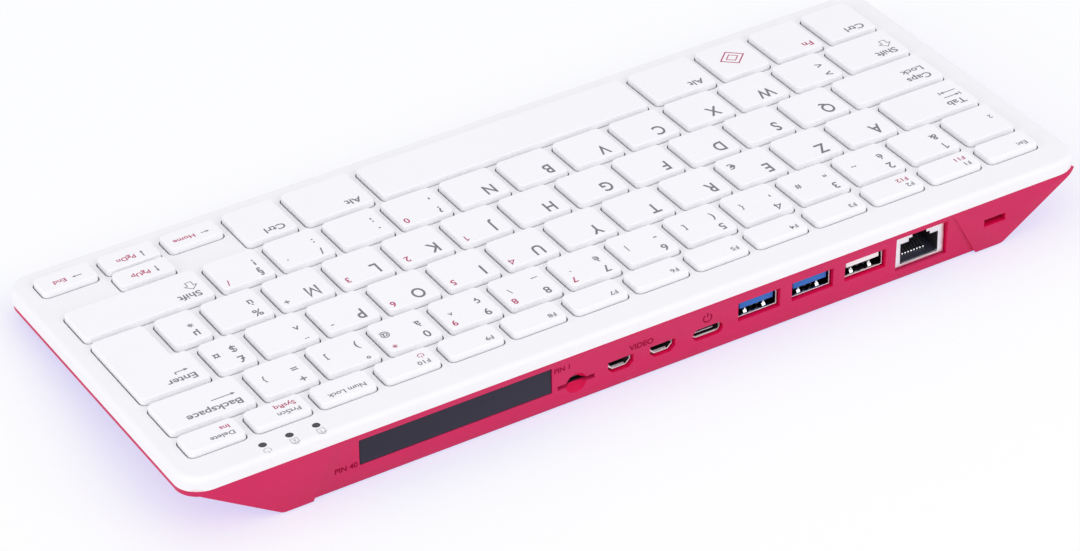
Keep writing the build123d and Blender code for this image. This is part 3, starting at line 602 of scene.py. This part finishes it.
# Where each kind of legend starts on its key: from the left edge, down from the rear edge, height and ink
legendPlaces = {
    "letter": (3.7, 6.5, 5.0, 0),
    "digit": (2.9, 4.4, 3.3, 0),
    "low": (2.9, 10.1, 3.1, 0),
    "right": (13.0, 9.3, 2.4, 0),
    "euro": (13.2, 12.2, 2.9, 0),
    "quote": (3.05, 11.7, 3.1, 0),
    "at": (12.4, 9.9, 2.4, 0),
    "near": (8.2, 9.6, 3.1, 0),
    "pad": (13.4, 4.2, 2.7, 1),
    "padSign": (13.4, 4.2, 2.7, 0),
    "word": (3.1, 4.6, 2.8, 0),
    "wordLow": (3.1, 9.1, 2.6, 0),
    "wordRed": (2.5, 4.5, 2.6, 1),
    "small": (2.6, 3.45, 1.85, 0),
    "smallRed": (2.6, 6.75, 1.85, 1),
    "square": (2.6, 9.8, 1.9, 0),
}
centredPlaces = ("right", "euro")
arrowWord = {"base": 4.4, "height": 1.9, "lefts": {"Home": 7.9, "PgDn": 7.0, "PgUp": 7.0, "End": 8.85}}
keyPower = {"left": 3.7, "base": 5.9, "radius": 0.9, "stroke": 0.24}

# Letters drawn as one stroke, in shares of their height
drawnLetters = {
    "M": ((0, 0), (0.02, 1), (0.46, 0.22), (0.9, 1), (0.92, 0)),
    "1": ((0.02, 0.74), (0.38, 0.95), (0.38, 0)),
    "4": ((0.56, 0), (0.56, 0.94), (0, 0.28), (0.76, 0.28)),
}

# Signs, measured from a key's left and rear edge: arrows as tip and tail, plain lines, and one closed outline
signArrows = {
    "leftArrow": [((3.2, -7.6), (10.4, -7.6))],
    "enterArrow": [((3.9, -7.3), (7.9, -7.3))],
    "tabArrows": [((2.7, -7.1), (8.1, -7.1)), ((7.8, -9.9), (2.4, -9.9))],
    "arrowLeft": [((3.3, -3.5), (5.9, -3.5))],
    "arrowRight": [((7.0, -3.5), (4.0, -3.5))],
    "arrowDown": [((4.8, -5.1), (4.8, -1.9))],
    "arrowUp": [((4.8, -1.9), (4.8, -5.1))],
}
signLines = {
    "enterArrow": [((7.9, -7.45), (7.9, -6.2))],
    "tabArrows": [((2.5, -6.3), (2.5, -7.9)), ((8.0, -9.1), (8.0, -10.7))],
}
shiftSign = {
    "stroke": 0.26,
    "outline": ((4.3, -6.0), (2.4, -8.0), (3.4, -8.0), (3.4, -10.0), (5.2, -10.0), (5.2, -8.0), (6.2, -8.0)),
}
diamondSign = ((4.0, 0.42), (2.0, 0.34))  # half width and stroke of each of its two outlines


def textOutline(words, bolder=printing["bolder"]):
    # Flat text as a mesh, its left edge and baseline at the origin
    curve = bpy.data.curves.new("legendText", "FONT")
    setAll(curve, body=words, resolution_u=printing["curveSteps"], offset=bolder)
    return bakedMesh(newObject("legendText", curve))


capitalHeight = max(vertex.co.y for vertex in textOutline("H").vertices)


def addSheet(bm, points, faces, ink):
    # A flat shape given a thin, closed body of ink
    levels = (printing["lift"] + printing["height"], printing["lift"])
    upper, lower = ([bm.verts.new((x, y, level)) for x, y in points] for level in levels)
    edges = dict.fromkeys(pair for face in faces for pair in zip(face, face[1:] + face[:1]))
    made = []
    for face in faces:
        made.append(bm.faces.new([upper[index] for index in face]))
        made.append(bm.faces.new([lower[index] for index in reversed(face)]))
    for first, second in edges:
        if (second, first) not in edges:
            made.append(bm.faces.new((upper[second], upper[first], lower[first], lower[second])))
    for face in made:
        face.material_index = ink


def addStroke(bm, points, ink=0, width=printing["stroke"], closed=False):
    # A line of even width along the points, with mitred corners
    line = [Vector(point) for point in points]
    count = len(line)
    reaches = [side * mitre * width / 2 for side, mitre in sidesOf(line, closed)]
    edges = [here + reach * way for way in (1, -1) for here, reach in zip(line, reaches)]
    spans = range(count if closed else count - 1)
    faces = [[index, count + index, count + (index + 1) % count, (index + 1) % count] for index in spans]
    addSheet(bm, edges, faces, ink)


def addText(bm, words, x, y, height, ink=0, middle=False, bolder=printing["bolder"]):
    narrow = printing["letterWidth" if words.isupper() else "signWidth"] if len(words) == 1 else 1
    if words in drawnLetters:
        shares = drawnLetters[words]
        stroke = printing["drawnStroke"]
        start = max(across for across, up in shares) / 2 if middle else -stroke / 2 / narrow
        corners = [(x + height * narrow * (across - start), y + height * up) for across, up in shares]
        addStroke(bm, corners, ink, height * stroke)
        return
    mesh = textOutline(words, bolder)
    size = height / capitalHeight
    across = [vertex.co.x for vertex in mesh.vertices]
    start = (min(across) + max(across)) / 2 if middle else min(across)
    scale = Matrix.Diagonal((size * narrow, size, 1, 1))
    mesh.transform(Matrix.Translation((x, y, 0)) @ scale @ Matrix.Translation((-start, 0, 0)))
    points = [vertex.co.xy for vertex in mesh.vertices]
    addSheet(bm, points, [list(face.vertices) for face in mesh.polygons], ink)
    bpy.data.meshes.remove(mesh)


def addArrow(bm, tip, tail, head):
    # A straight shaft with a filled head at its tip
    tip, tail = Vector(tip), Vector(tail)
    way = (tip - tail).normalized()
    side = Vector((-way.y, way.x)) * head / 2
    neck = tip - way * head
    addStroke(bm, [tail, neck])
    addSheet(bm, [tip, neck + side, neck - side], [[0, 1, 2]], 0)


def addPowerSign(bm, x, y, radius, ink, width):
    # A ring open at the top, and a bar down through the opening
    ringTurn = (125, 415)
    barTop, barFoot = radius * 1.35, radius * 0.25
    addStroke(bm, arcPoints(x, y, radius, *ringTurn), ink, width)
    addStroke(bm, [(x, y + barTop), (x, y + barFoot)], ink, width)


def addSign(bm, sign, left, rear, key):
    def onKey(points):
        return [(left + x, rear + y) for x, y in points]

    head = printing["smallHead" if sign.startswith("arrow") else "arrowHead"]
    for points in signArrows.get(sign, ()):
        addArrow(bm, *onKey(points), head)
    for points in signLines.get(sign, ()):
        addStroke(bm, onKey(points))
    if sign == "shiftSign":
        addStroke(bm, onKey(shiftSign["outline"]), 0, shiftSign["stroke"], True)
    if sign == "diamond":
        x, y = key["size"][:2]
        for reach, width in diamondSign:
            addStroke(bm, [(x, y + reach), (x - reach, y), (x, y - reach), (x + reach, y)], 1, width, True)


def legendsFor(body):
    bm = bmesh.new()
    for key in keysOn(body):
        x, y, width, depth = key["size"]
        left, rear = x - width / 2, y + depth / 2
        for words, place in key["legends"]:
            if place == "arrowRed":
                start = left + arrowWord["lefts"][words]
                addText(bm, words, start, rear - arrowWord["base"], arrowWord["height"], 1)
            elif place in ("wordSign", "middle", "arrow"):
                addSign(bm, words, left, rear, key)
            elif words == "~" and place == "smallRed":
                middle = (left + keyPower["left"], rear - keyPower["base"])
                addPowerSign(bm, *middle, keyPower["radius"], 1, keyPower["stroke"])
            else:
                start, base, height, ink = legendPlaces[place]
                addText(bm, words, left + start, rear - base, height, ink, place in centredPlaces)
    return toMesh(f"legend_{body}", bm, deckToModel @ Matrix.Translation((0, 0, keyCap["rise"])))


for body in keyBodies:
    if any(key["legends"] for key in keysOn(body)):
        addPiece(f"legend_{body}", legendsFor(body), (), ["darkInk", "crimsonInk"], body)
print("legends printed")


# Deck plate with a rounded hole for every key

lightPlaces = [
    (halfWidth - deck["lightInset"] + deck["lightPitch"] * step, fieldBack + deck["lightSetback"])
    for step in (-1, 0, 1)
]


def filledPlate(outlines, height):
    # Flat fill of the first outline with the others left open
    curve = setAll(bpy.data.curves.new("plateFill", "CURVE"), dimensions="2D", fill_mode="FRONT")
    for ring in outlines:
        spline = curve.splines.new("POLY")
        spline.points.add(len(ring) - 1)
        for point, place in zip(spline.points, ring):
            point.co = (place.x, place.y, 0, 1)
        spline.use_cyclic_u = True
    mesh = bakedMesh(newObject("plateFill", curve))
    mesh.transform(Matrix.Translation((0, 0, height)))
    return mesh


def deckRing(inset, height):
    # The casing's upright outline, met by a plane at that height over the deck
    outline = rectangle(0, 0, 2 * halfWidth, 2 * halfDepth)
    rise = height / cos(deckTilt)
    points = []
    for point in outlineRing(outline, inset, deck["corner"], deck["cornerSteps"]):
        level = point.y * tan(deckTilt) + rise
        along = point.y * cos(deckTilt) + level * sin(deckTilt)
        points.append(Vector((point.x, along, level * cos(deckTilt) - point.y * sin(deckTilt))))
    return points


def makeDeck():
    bm = bmesh.new()
    edge, support, plate = deck["edge"], deck["support"], deck["plate"]
    rim = [deckRing(edge + support, 0)]
    for swing in quarterTurn(deck["edgeSteps"]):
        rim.append(deckRing(edge * (1 - sin(swing)), edge * (cos(swing) - 1)))
    rim += [deckRing(0, -deck["side"]), deckRing(deck["wall"], -deck["side"]), deckRing(deck["wall"], -plate)]
    loft(bm, [list(reversed(ring)) for ring in rim], False)
    tops, floors = [rim[0]], [rim[-1]]
    grow, roll = deck["holeClearance"], deck["holeEdge"]

    def wallOf(ringAt):
        wall = [atHeight(ringAt(grow + roll + support), 0)]
        for swing in quarterTurn(deck["holeEdgeSteps"]):
            wall.append(atHeight(ringAt(grow + roll * (1 - sin(swing))), roll * (cos(swing) - 1)))
        wall.append(atHeight(ringAt(grow), -plate))
        loft(bm, wall, False)
        tops.append(wall[0])
        floors.append(wall[-1])

    for key in keys:
        wallOf(lambda out: capRing(key["corners"], -out))
    for x, y in lightPlaces:
        wallOf(lambda out: arcPoints(x, y, deck["lightRadius"] - grow + out, 0, 360, deck["lightSteps"])[:-1])
    for outlines, height in ((tops, 0), (floors, -plate)):
        mesh = filledPlate(outlines, height)
        if height < 0:
            mesh.flip_normals()
        bm.from_mesh(mesh)
    bmesh.ops.remove_doubles(bm, verts=bm.verts, dist=deck["weld"])
    bmesh.ops.recalc_face_normals(bm, faces=bm.faces)
    for face in bm.faces:
        middle = face.calc_center_median()
        inside = abs(middle.x) < halfWidth - deck["rimWidth"] and abs(middle.y) < halfDepth - deck["rimWidth"]
        # Walls of the key holes below the rolled edge get the second finish, a grey that is painted shade
        face.material_index = int(inside and -plate < middle.z < -roll)
    return toMesh("deckPlate", bm, deckToModel, deck["sharp"])


addPiece("deck_plate", makeDeck(), ["keyboard_deck"], ["whitePlastic", "gapShadePlastic"])

# Signs behind the three lights: a lock for numbers, a lock for capitals and the power sign
lightSign = {"setback": 3.1, "half": 1.05, "stroke": 0.22, "letter": 1.35, "bowShare": 0.6}
signBuild = bmesh.new()
for (x, y), letter in zip(lightPlaces, ("1", "A", None)):
    middle = y + lightSign["setback"]
    half, stroke = lightSign["half"], lightSign["stroke"]
    if letter:
        addStroke(signBuild, rectangle(x, middle, 2 * half, 2 * half), 0, stroke, True)
        bow = arcPoints(x, middle + half, half * lightSign["bowShare"], 0, 180)
        addStroke(signBuild, bow, 0, stroke)
        addText(signBuild, letter, x, middle - lightSign["letter"] / 2, lightSign["letter"], 0, True)
    else:
        addPowerSign(signBuild, x, middle, half, 0, stroke)
addPiece("light_signs", toMesh("light_signs", signBuild, deckToModel), (), ["paleInk"])
print("deck made")


# Softened copies of the hard pieces

softening = {"weld": 0.002, "flat": radians(0.4), "sharp": radians(28)}


def softCopy(name, node, finishes, width, choose=None, shape=None, segments=2, body="chassis"):
    source = frame["nodes"][node].data
    mesh = bpy.data.meshes.new(name)
    mesh.from_pydata([v.co for v in source.vertices], [], [list(p.vertices) for p in source.polygons])
    bm = bmesh.new()
    bm.from_mesh(mesh)
    bmesh.ops.remove_doubles(bm, verts=bm.verts, dist=softening["weld"] * mm)
    bmesh.ops.dissolve_limit(bm, angle_limit=softening["flat"], verts=bm.verts, edges=bm.edges)
    for vertex in bm.verts if shape else ():
        shape(vertex.co)
    bm.to_mesh(mesh)
    bm.free()
    holder = newObject(name + "_rough", mesh)
    bevel = holder.modifiers.new("edge", "BEVEL")
    setAll(bevel, width=width * mm, segments=segments, limit_method="ANGLE", angle_limit=softening["sharp"])
    finished = bakedMesh(holder)
    finished.name = name
    smoothMesh(finished)
    if choose:
        pickFinish(finished, choose)
    addPiece(name, finished, [node], finishes, body)


# Rear sockets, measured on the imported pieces
dataLow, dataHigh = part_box("data_shells")
networkLow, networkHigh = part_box("network_insert")
dataShell = {"half": 6.6, "height": 5.9, "wall": 0.35}
dataEnds = (dataLow.x / mm + dataShell["half"], dataHigh.x / mm - dataShell["half"])
dataXs = (dataEnds[0], sum(dataEnds) / 2, dataEnds[1])
dataFloor = dataHigh.z / mm - dataShell["height"] + dataShell["wall"]
networkX = (networkLow.x + networkHigh.x) / 2 / mm
mouth = dataHigh.y / mm
socketRow = {"tongueBack": 7.5, "plugFloor": 4.55, "ledge": 0.4, "powerEnd": -10.0}
tongue = {"fastFoot": 9.8, "plainFoot": 10.25, "slack": 0.1}  # undersides of the data sockets' tongues
slanted = (0.35, 0.93)  # how far the slanted sides of the small sockets face along x
dish = {"centre": (25.35, 62.4276, 6.5), "radius": 4.2, "slack": 0.12}
sillSpan = ((-120.0, 19.0), (57.0, 60.6), (3.4, 15.6))  # reach of the socket openings along x, y and z


def standsBehind(face):
    # True on the block at the back of a data socket, behind its tongue
    return face.center.y / mm < mouth - socketRow["tongueBack"]


def onPlugFloor(face):
    # Number of the finish on the ledge along the bottom of the network socket, a lighter blue-grey that is
    # painted sheen, and on its front edge, a pale grey that is painted highlight
    facing = 0.3
    if face.normal.z < facing or face.center.z / mm > socketRow["plugFloor"] + socketRow["ledge"]:
        return 0
    return 2 if face.normal.y > facing else 1


def smallFinish(face):
    # Number of the finish in the small sockets: painted shade on the slanted sides, and a shorter painted
    # shine on the lip in the power socket
    if slanted[0] < face.normal.x < slanted[1]:
        return 1
    return 2 if face.center.x / mm < socketRow["powerEnd"] else 0


def thinTongue(place):
    # The plain data socket's tongue, thinner than the fast ones
    if abs(place.z / mm - tongue["fastFoot"]) < tongue["slack"]:
        place.z = tongue["plainFoot"] * mm


def caseFinish(face):
    # Number of the finish: a deeper crimson in the round dish under the card slot, painted bounce light, and a
    # brighter crimson on the walls of the socket openings, painted light
    place = face.center / mm
    if abs((place - Vector(dish["centre"])).length - dish["radius"]) < dish["slack"]:
        return 1
    # The walls of the socket openings get a brighter crimson, painted light
    inside = all(low < value < high for value, (low, high) in zip(place, sillSpan))
    facingRear = 0.5
    return 2 if inside and abs(face.normal.y) < facingRear else 0


# Steel inside the sockets, painted bright at the mouth and painted shade deeper in: colour, roughness, depths
# where its painted shine ends and the painted shade starts, metallic share
socketSteels = {
    "dataSteelShaded": ((0.88, 0.88, 0.89), 0.28, 0.3, 0.7, 1.0),
    "smallSteelShaded": ((0.95, 0.95, 0.96), 0.34, 0.95, 1.15, 0.4),
    "powerSteelShaded": ((0.95, 0.95, 0.96), 0.34, 0.4, 0.55, 0.4),
}
finish |= {name: steelWithPaintedShade(name, *values) for name, values in socketSteels.items()}

caseFinishes = ["crimsonPlastic", "dishBouncePlastic", "sillLitPlastic"]
softCopy("case_base", "base_case", caseFinishes, 0.25, caseFinish)
softCopy("cover_over_pins", "header_cover", ["coverPlastic"], 0.2, body="header_cover")
softCopy("feet", "rubber_feet", ["footRubber"], 0.3, segments=3)

# Node, slot, finishes, width of the softened edge, and which face gets which finish
socketFinishes = [
    ("network_shell", "shell_steel", ["nickelSteel"], 0.12, None),
    ("network_insert", "black_plastic", ["blackPlastic", "ledgeSheenPlastic", "framePlastic"], 0.2, onPlugFloor),
    ("data_shells", "shell_steel", ["dataSteelShaded"], 0.1, None),
    ("fast_data_tongues", "blue_plastic", ["bluePlastic", "blackPlastic"], 0.12, standsBehind),
    ("data_tongue", "tongue_white", ["tonguePlastic", "blackPlastic"], 0.12, standsBehind),
    ("small_socket_shells", "shell_steel", ["smallSteelShaded", "shadedSteel", "powerSteelShaded"], 0.1, smallFinish),
    ("small_socket_tongues", "black_plastic", ["blackPlastic"], 0.08, None),
]
for node, slot, finishes, width, choose in socketFinishes:
    shape = thinTongue if node == "data_tongue" else None
    softCopy(node + "_soft", node, finishes, width, choose, shape)


# Rows of small metal pieces in the sockets, each set out along a grid of points

def rowTree():
    # A piece repeated over columns and rows, in steps across and up
    inputs = {"Piece": "Object", "Columns": "Int", "Rows": "Int", "Step": "Float", "Rise": "Float"}
    inputs |= {"Metal": "Material"}
    tree, sockets, source = groupTree("pieceRow", inputs, "Pieces")

    def lineOf(count, step, axis):
        offset = outputOf(tree, "ShaderNodeCombineXYZ", {axis: source[step]})
        return outputOf(tree, "GeometryNodeMeshLine", {"Count": source[count], "Offset": offset})

    points = repeatOn(tree, lineOf("Rows", "Rise", "Z"), lineOf("Columns", "Step", "X"))
    piece = outputOf(tree, "GeometryNodeObjectInfo", {"Object": source["Piece"]}, "Geometry")
    closeTree(tree, repeatOn(tree, points, piece), source["Metal"])
    return tree, sockets


rowGroup = rowTree()
rowSharp = 40.0


def stripBuild(path, width, thickness):
    # A strip of sheet bent along a path of (y, z) points, centred across x
    line = [Vector(point) for point in path]
    rings = []
    for here, (side, mitre) in zip(line, sidesOf(line)):
        low, high = here - side * thickness / 2, here + side * thickness / 2
        corners = ((-1, low), (1, low), (1, high), (-1, high))
        rings.append([Vector((end * width / 2, point.x, point.y)) for end, point in corners])
    bm = bmesh.new()
    loft(bm, rings)
    return bm


def rowMesh(bm, columns, rows, step, rise, metalName, start):
    # The finished row in the model's own place, its first piece at start
    bmesh.ops.recalc_face_normals(bm, faces=bm.faces)
    piece = newObject("rowPiece", toMesh("rowPiece", bm))
    holder = newObject("rowHolder", bpy.data.meshes.new("rowHolder"))
    values = {"Piece": piece, "Columns": columns, "Rows": rows, "Step": step, "Rise": rise}
    mesh = runTree(holder, rowGroup, values | {"Metal": finish[metalName]})
    bpy.data.objects.remove(piece)
    mesh.transform(toMetres @ Matrix.Translation(start))
    smoothMesh(mesh, rowSharp)
    return mesh


def stripRow(row, path, x, level, metalName):
    # Bent strips side by side, their middle at x and their front behind the sockets' mouth
    strip = stripBuild(path, row["width"], row["thickness"])
    start = (x - (row["count"] - 1) / 2 * row["pitch"], mouth - row["front"], level)
    return rowMesh(strip, row["count"], 1, row["pitch"], 0, metalName, start)


# Network contacts: a knuckle at the front of each, its strip rising to the back; the knuckles are painted
# bright as a painted highlight and the strips dark as painted shade
contact = {
    "count": 8, "pitch": 1.02, "width": 0.5, "thickness": 0.34,
    "front": 3.6, "back": 10.4, "rise": 3.8, "lift": 0.1, "brightLift": 0.75,
    "knuckle": 0.32, "knuckleLift": 0.3, "knuckleTurn": (-70, 120), "knuckleSteps": 10,
}
knuckle = (0, contact["knuckleLift"], contact["knuckle"], *contact["knuckleTurn"], contact["knuckleSteps"])
contactPath = arcPoints(*knuckle) + [(contact["front"] - contact["back"], contact["rise"])]
contactLevel = socketRow["plugFloor"] + contact["lift"]
contactMesh = stripRow(contact, contactPath, networkX, contactLevel, "stripShadeSteel")
contactMesh.materials.clear()
# Faces low on the knuckles get the bright second finish, a painted highlight
brightLevel = socketRow["plugFloor"] + contact["brightLift"]
pickFinish(contactMesh, lambda face: face.center.z / mm < brightLevel)
contactFinishes = ["stripShadeSteel", "nickelSteel"]
addPiece("network_contact_row", contactMesh, ["network_contacts"], contactFinishes)

# Spring fingers on the floor of each data socket
spring = {"count": 2, "pitch": 6.2, "width": 1.05, "thickness": 0.25, "front": 0.9, "aside": 0.3}
springPath = ((0.1, -0.1), (-0.25, 0.5), (-0.7, 0.736), (-1.15, 0.8), (-1.6, 0.72), (-4.2, 0.05))
for number, x in enumerate(dataXs):
    springMesh = stripRow(spring, springPath, x + spring["aside"], dataFloor, "springSteel")
    addPiece(f"data_springs_{number + 1}", springMesh)

# Contacts hanging from the tongue of each data socket, higher under the plain one's
hanger = {
    "count": 4, "pitch": 2.0, "width": 0.7, "thickness": 0.2, "front": 1.2, "level": 9.7, "plainLift": 0.45,
}
hangerPath = ((0, 0.1), (-0.2, -1.19), (-0.5, -1.7), (-0.8, -1.19), (-2.4, 0.1))
for number, x in enumerate(dataXs):
    level = hanger["level"] + (0 if number else hanger["plainLift"])
    hangerMesh = stripRow(hanger, hangerPath, x, level, "springSteel")
    addPiece(f"data_contacts_{number + 1}", hangerMesh)

# Steel plate along the front of the power socket's tongue
plate = {"x": -16.6, "width": 6.4, "front": 0.5, "depth": 0.8, "low": 6.95, "high": 7.2}
plateY = mouth - plate["front"] - plate["depth"] / 2
plateFoot = rectangle(plate["x"], plateY, plate["width"], plate["depth"])
plateBuild = bmesh.new()
loft(plateBuild, [atHeight(plateFoot, plate["low"]), atHeight(plateFoot, plate["high"])])
plateMesh = toMesh("power_tongue_plate", plateBuild, toMetres)
addPiece("power_tongue_plate", plateMesh, (), ["shellSteel"])

# Header pins, square with tapered tips, under the cover
pin = {"columns": 20, "rows": 2, "pitch": 2.54, "size": 0.64, "taper": 0.7, "tip": 0.3}
pinLow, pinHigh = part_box("header_pins")
pinLength = (pinHigh.y - pinLow.y) / mm
half, tip = pin["size"] / 2, pin["tip"] / 2
pinSides = ((1, -1), (-1, -1), (-1, 1), (1, 1))
pinReaches = ((0, half), (pinLength - pin["taper"], half), (pinLength, tip))
pinBuild = bmesh.new()
loft(pinBuild, [[Vector((x * reach, y, z * reach)) for x, z in pinSides] for y, reach in pinReaches])
pinStart = (pinLow.x / mm + half, pinLow.y / mm, pinLow.z / mm + half)
pinMesh = rowMesh(pinBuild, pin["columns"], pin["rows"], pin["pitch"], pin["pitch"], "contactGold", pinStart)
addPiece("pin_rows", pinMesh, ["header_pins"])

# Marks on the port panel, sunk in the moulding and darker than it, the dark being painted shade: words, place
# across and up, height, and whether centred
panel = {"face": 60.3276, "top": 16.329, "lean": radians(2.5), "bolder": 0.03}
marks = [
    ("PIN 40", -100.4, 6.0, 1.75, False),
    ("PIN 1", -32.4, 12.7, 1.65, False),
    ("VIDEO", -4.5, 10.9, 1.85, True),
]
powerMark = {"x": 17.0, "y": 12.4, "radius": 1.35, "ink": 0, "width": 0.45}
panelToModel = toMetres @ Matrix.Translation((0, panel["face"], panel["top"])) @ Matrix.Rotation(pi, 4, "Z")
panelToModel = panelToModel @ Matrix.Rotation(pi / 2 + panel["lean"], 4, "X")
panelToModel = panelToModel @ Matrix.Translation((0, -panel["top"], 0))
markBuild = bmesh.new()
for words, x, y, height, middle in marks:
    addText(markBuild, words, x, y, height, 0, middle, panel["bolder"])
addPowerSign(markBuild, **powerMark)
addPiece("panel_marks", toMesh("panel_marks", markBuild, panelToModel), (), ["sunkMarkShade"])
print("sockets dressed")

nodeFinishes = {
    "key_guide_frame": "framePlastic",
    "dome_sheet": "domeRubber",
    "membrane_circuit": "membraneFilm",
    "keyboard_backplate": "plateSteel",
    "keyboard_ribbon": "membraneFilm",
    "led_light_pipes": "smokedPlastic",
    "main_board": "boardMask",
    "processor": "chipMetal",
    "board_chips": "blackPlastic",
    "thermal_pad": "padRubber",
    "heat_spreader": "spreaderAluminium",
    "board_screws": "plateSteel",
    "pin_header": "blackPlastic",
    "card_socket": "shadedSteel",
}
for node, finishName in nodeFinishes.items():
    mesh = frame["nodes"][node].data
    mesh.materials.clear()
    mesh.materials.append(finish[finishName])
print("finishes set")


# Floor, light and camera

studio = {
    "floor": (0.87, 0.87, 0.88), "floorRoughness": 0.7, "floorSize": 12.0,
    "floorSeen": (0.8, 0.63, 0.2), "floorGlow": (0.39, 0.52, 0.847), "floorShare": 0.3,
    "world": (0.97, 0.965, 1.0), "worldStrength": 0.93,
    "eye": (473.5, 865.8, 745.4), "aim": (-10.9, 38.93, 15.97), "roll": -0.54,
}
lens = {"sensor_width": 36, "lens": 142.36, "shift_x": -0.10185, "clip_end": 50}

# The floor lights the object as plain pale paint, and is itself seen in the pale tint of its glow and shade
floorPaint, floorTree, floorShader = newMaterial("floorPaint", studio["floor"], studio["floorRoughness"])
path = addNode(floorTree, "ShaderNodeLightPath").outputs
seen = mathNode(floorTree, "ADD", path["Is Camera Ray"], path["Is Glossy Ray"])
seen = mathNode(floorTree, "ADD", seen, path["Is Transmission Ray"])
seen = mathNode(floorTree, "MINIMUM", seen, 1.0)
shade = outputOf(floorTree, "ShaderNodeBsdfDiffuse", {"Color": (*studio["floorSeen"], 1)})
glowInputs = {"Color": (*studio["floorGlow"], 1), "Strength": 1 / studio["floorShare"]}
glow = outputOf(floorTree, "ShaderNodeEmission", glowInputs)
tint = outputOf(floorTree, "ShaderNodeMixShader", {"Fac": studio["floorShare"], 1: shade, 2: glow})
paint = outputOf(floorTree, "ShaderNodeMixShader", {"Fac": seen, 1: floorShader.outputs["BSDF"], 2: tint})
setInputs(floorTree.nodes["Material Output"], {"Surface": paint})
floorMesh = bpy.data.meshes.new("floor")
floorCorners = atHeight(rectangle(0, 0, studio["floorSize"], studio["floorSize"]), 0)
floorMesh.from_pydata(floorCorners, [], [(0, 1, 2, 3)])
floorMesh.materials.append(floorPaint)
floor = newObject("floor", floorMesh)

world = bpy.data.worlds.new("studio")
bpy.context.scene.world = world
world.use_nodes = True
sky = {"Color": (*studio["world"], 1), "Strength": studio["worldStrength"]}
setInputs(world.node_tree.nodes["Background"], sky)

# Lamps turned to the object: name, place and size in metres, and power in watts
lamps = [
    ("rearFill", (-0.55, 1.33, 1.02), 1.2, 7.0),
    ("sideFill", (1.6, 0.0, 0.5), 1.2, 6.0),
]
for name, place, size, power in lamps:
    lamp = newObject(name, setAll(bpy.data.lights.new(name, "AREA"), size=size, energy=power))
    lamp.location = place
    lamp.rotation_euler = (-Vector(place)).to_track_quat("-Z", "Y").to_euler()

camera = newObject("camera", setAll(bpy.data.cameras.new("camera"), **lens))
camera.location = Vector(studio["eye"]) * mm
look = (Vector(studio["aim"]) - Vector(studio["eye"])).to_track_quat("-Z", "Y")
camera.rotation_euler = (look @ Quaternion((0, 0, 1), radians(studio["roll"]))).to_euler()
bpy.context.scene.camera = camera
bpy.context.scene.view_settings.view_transform = "Standard"
print("studio set")
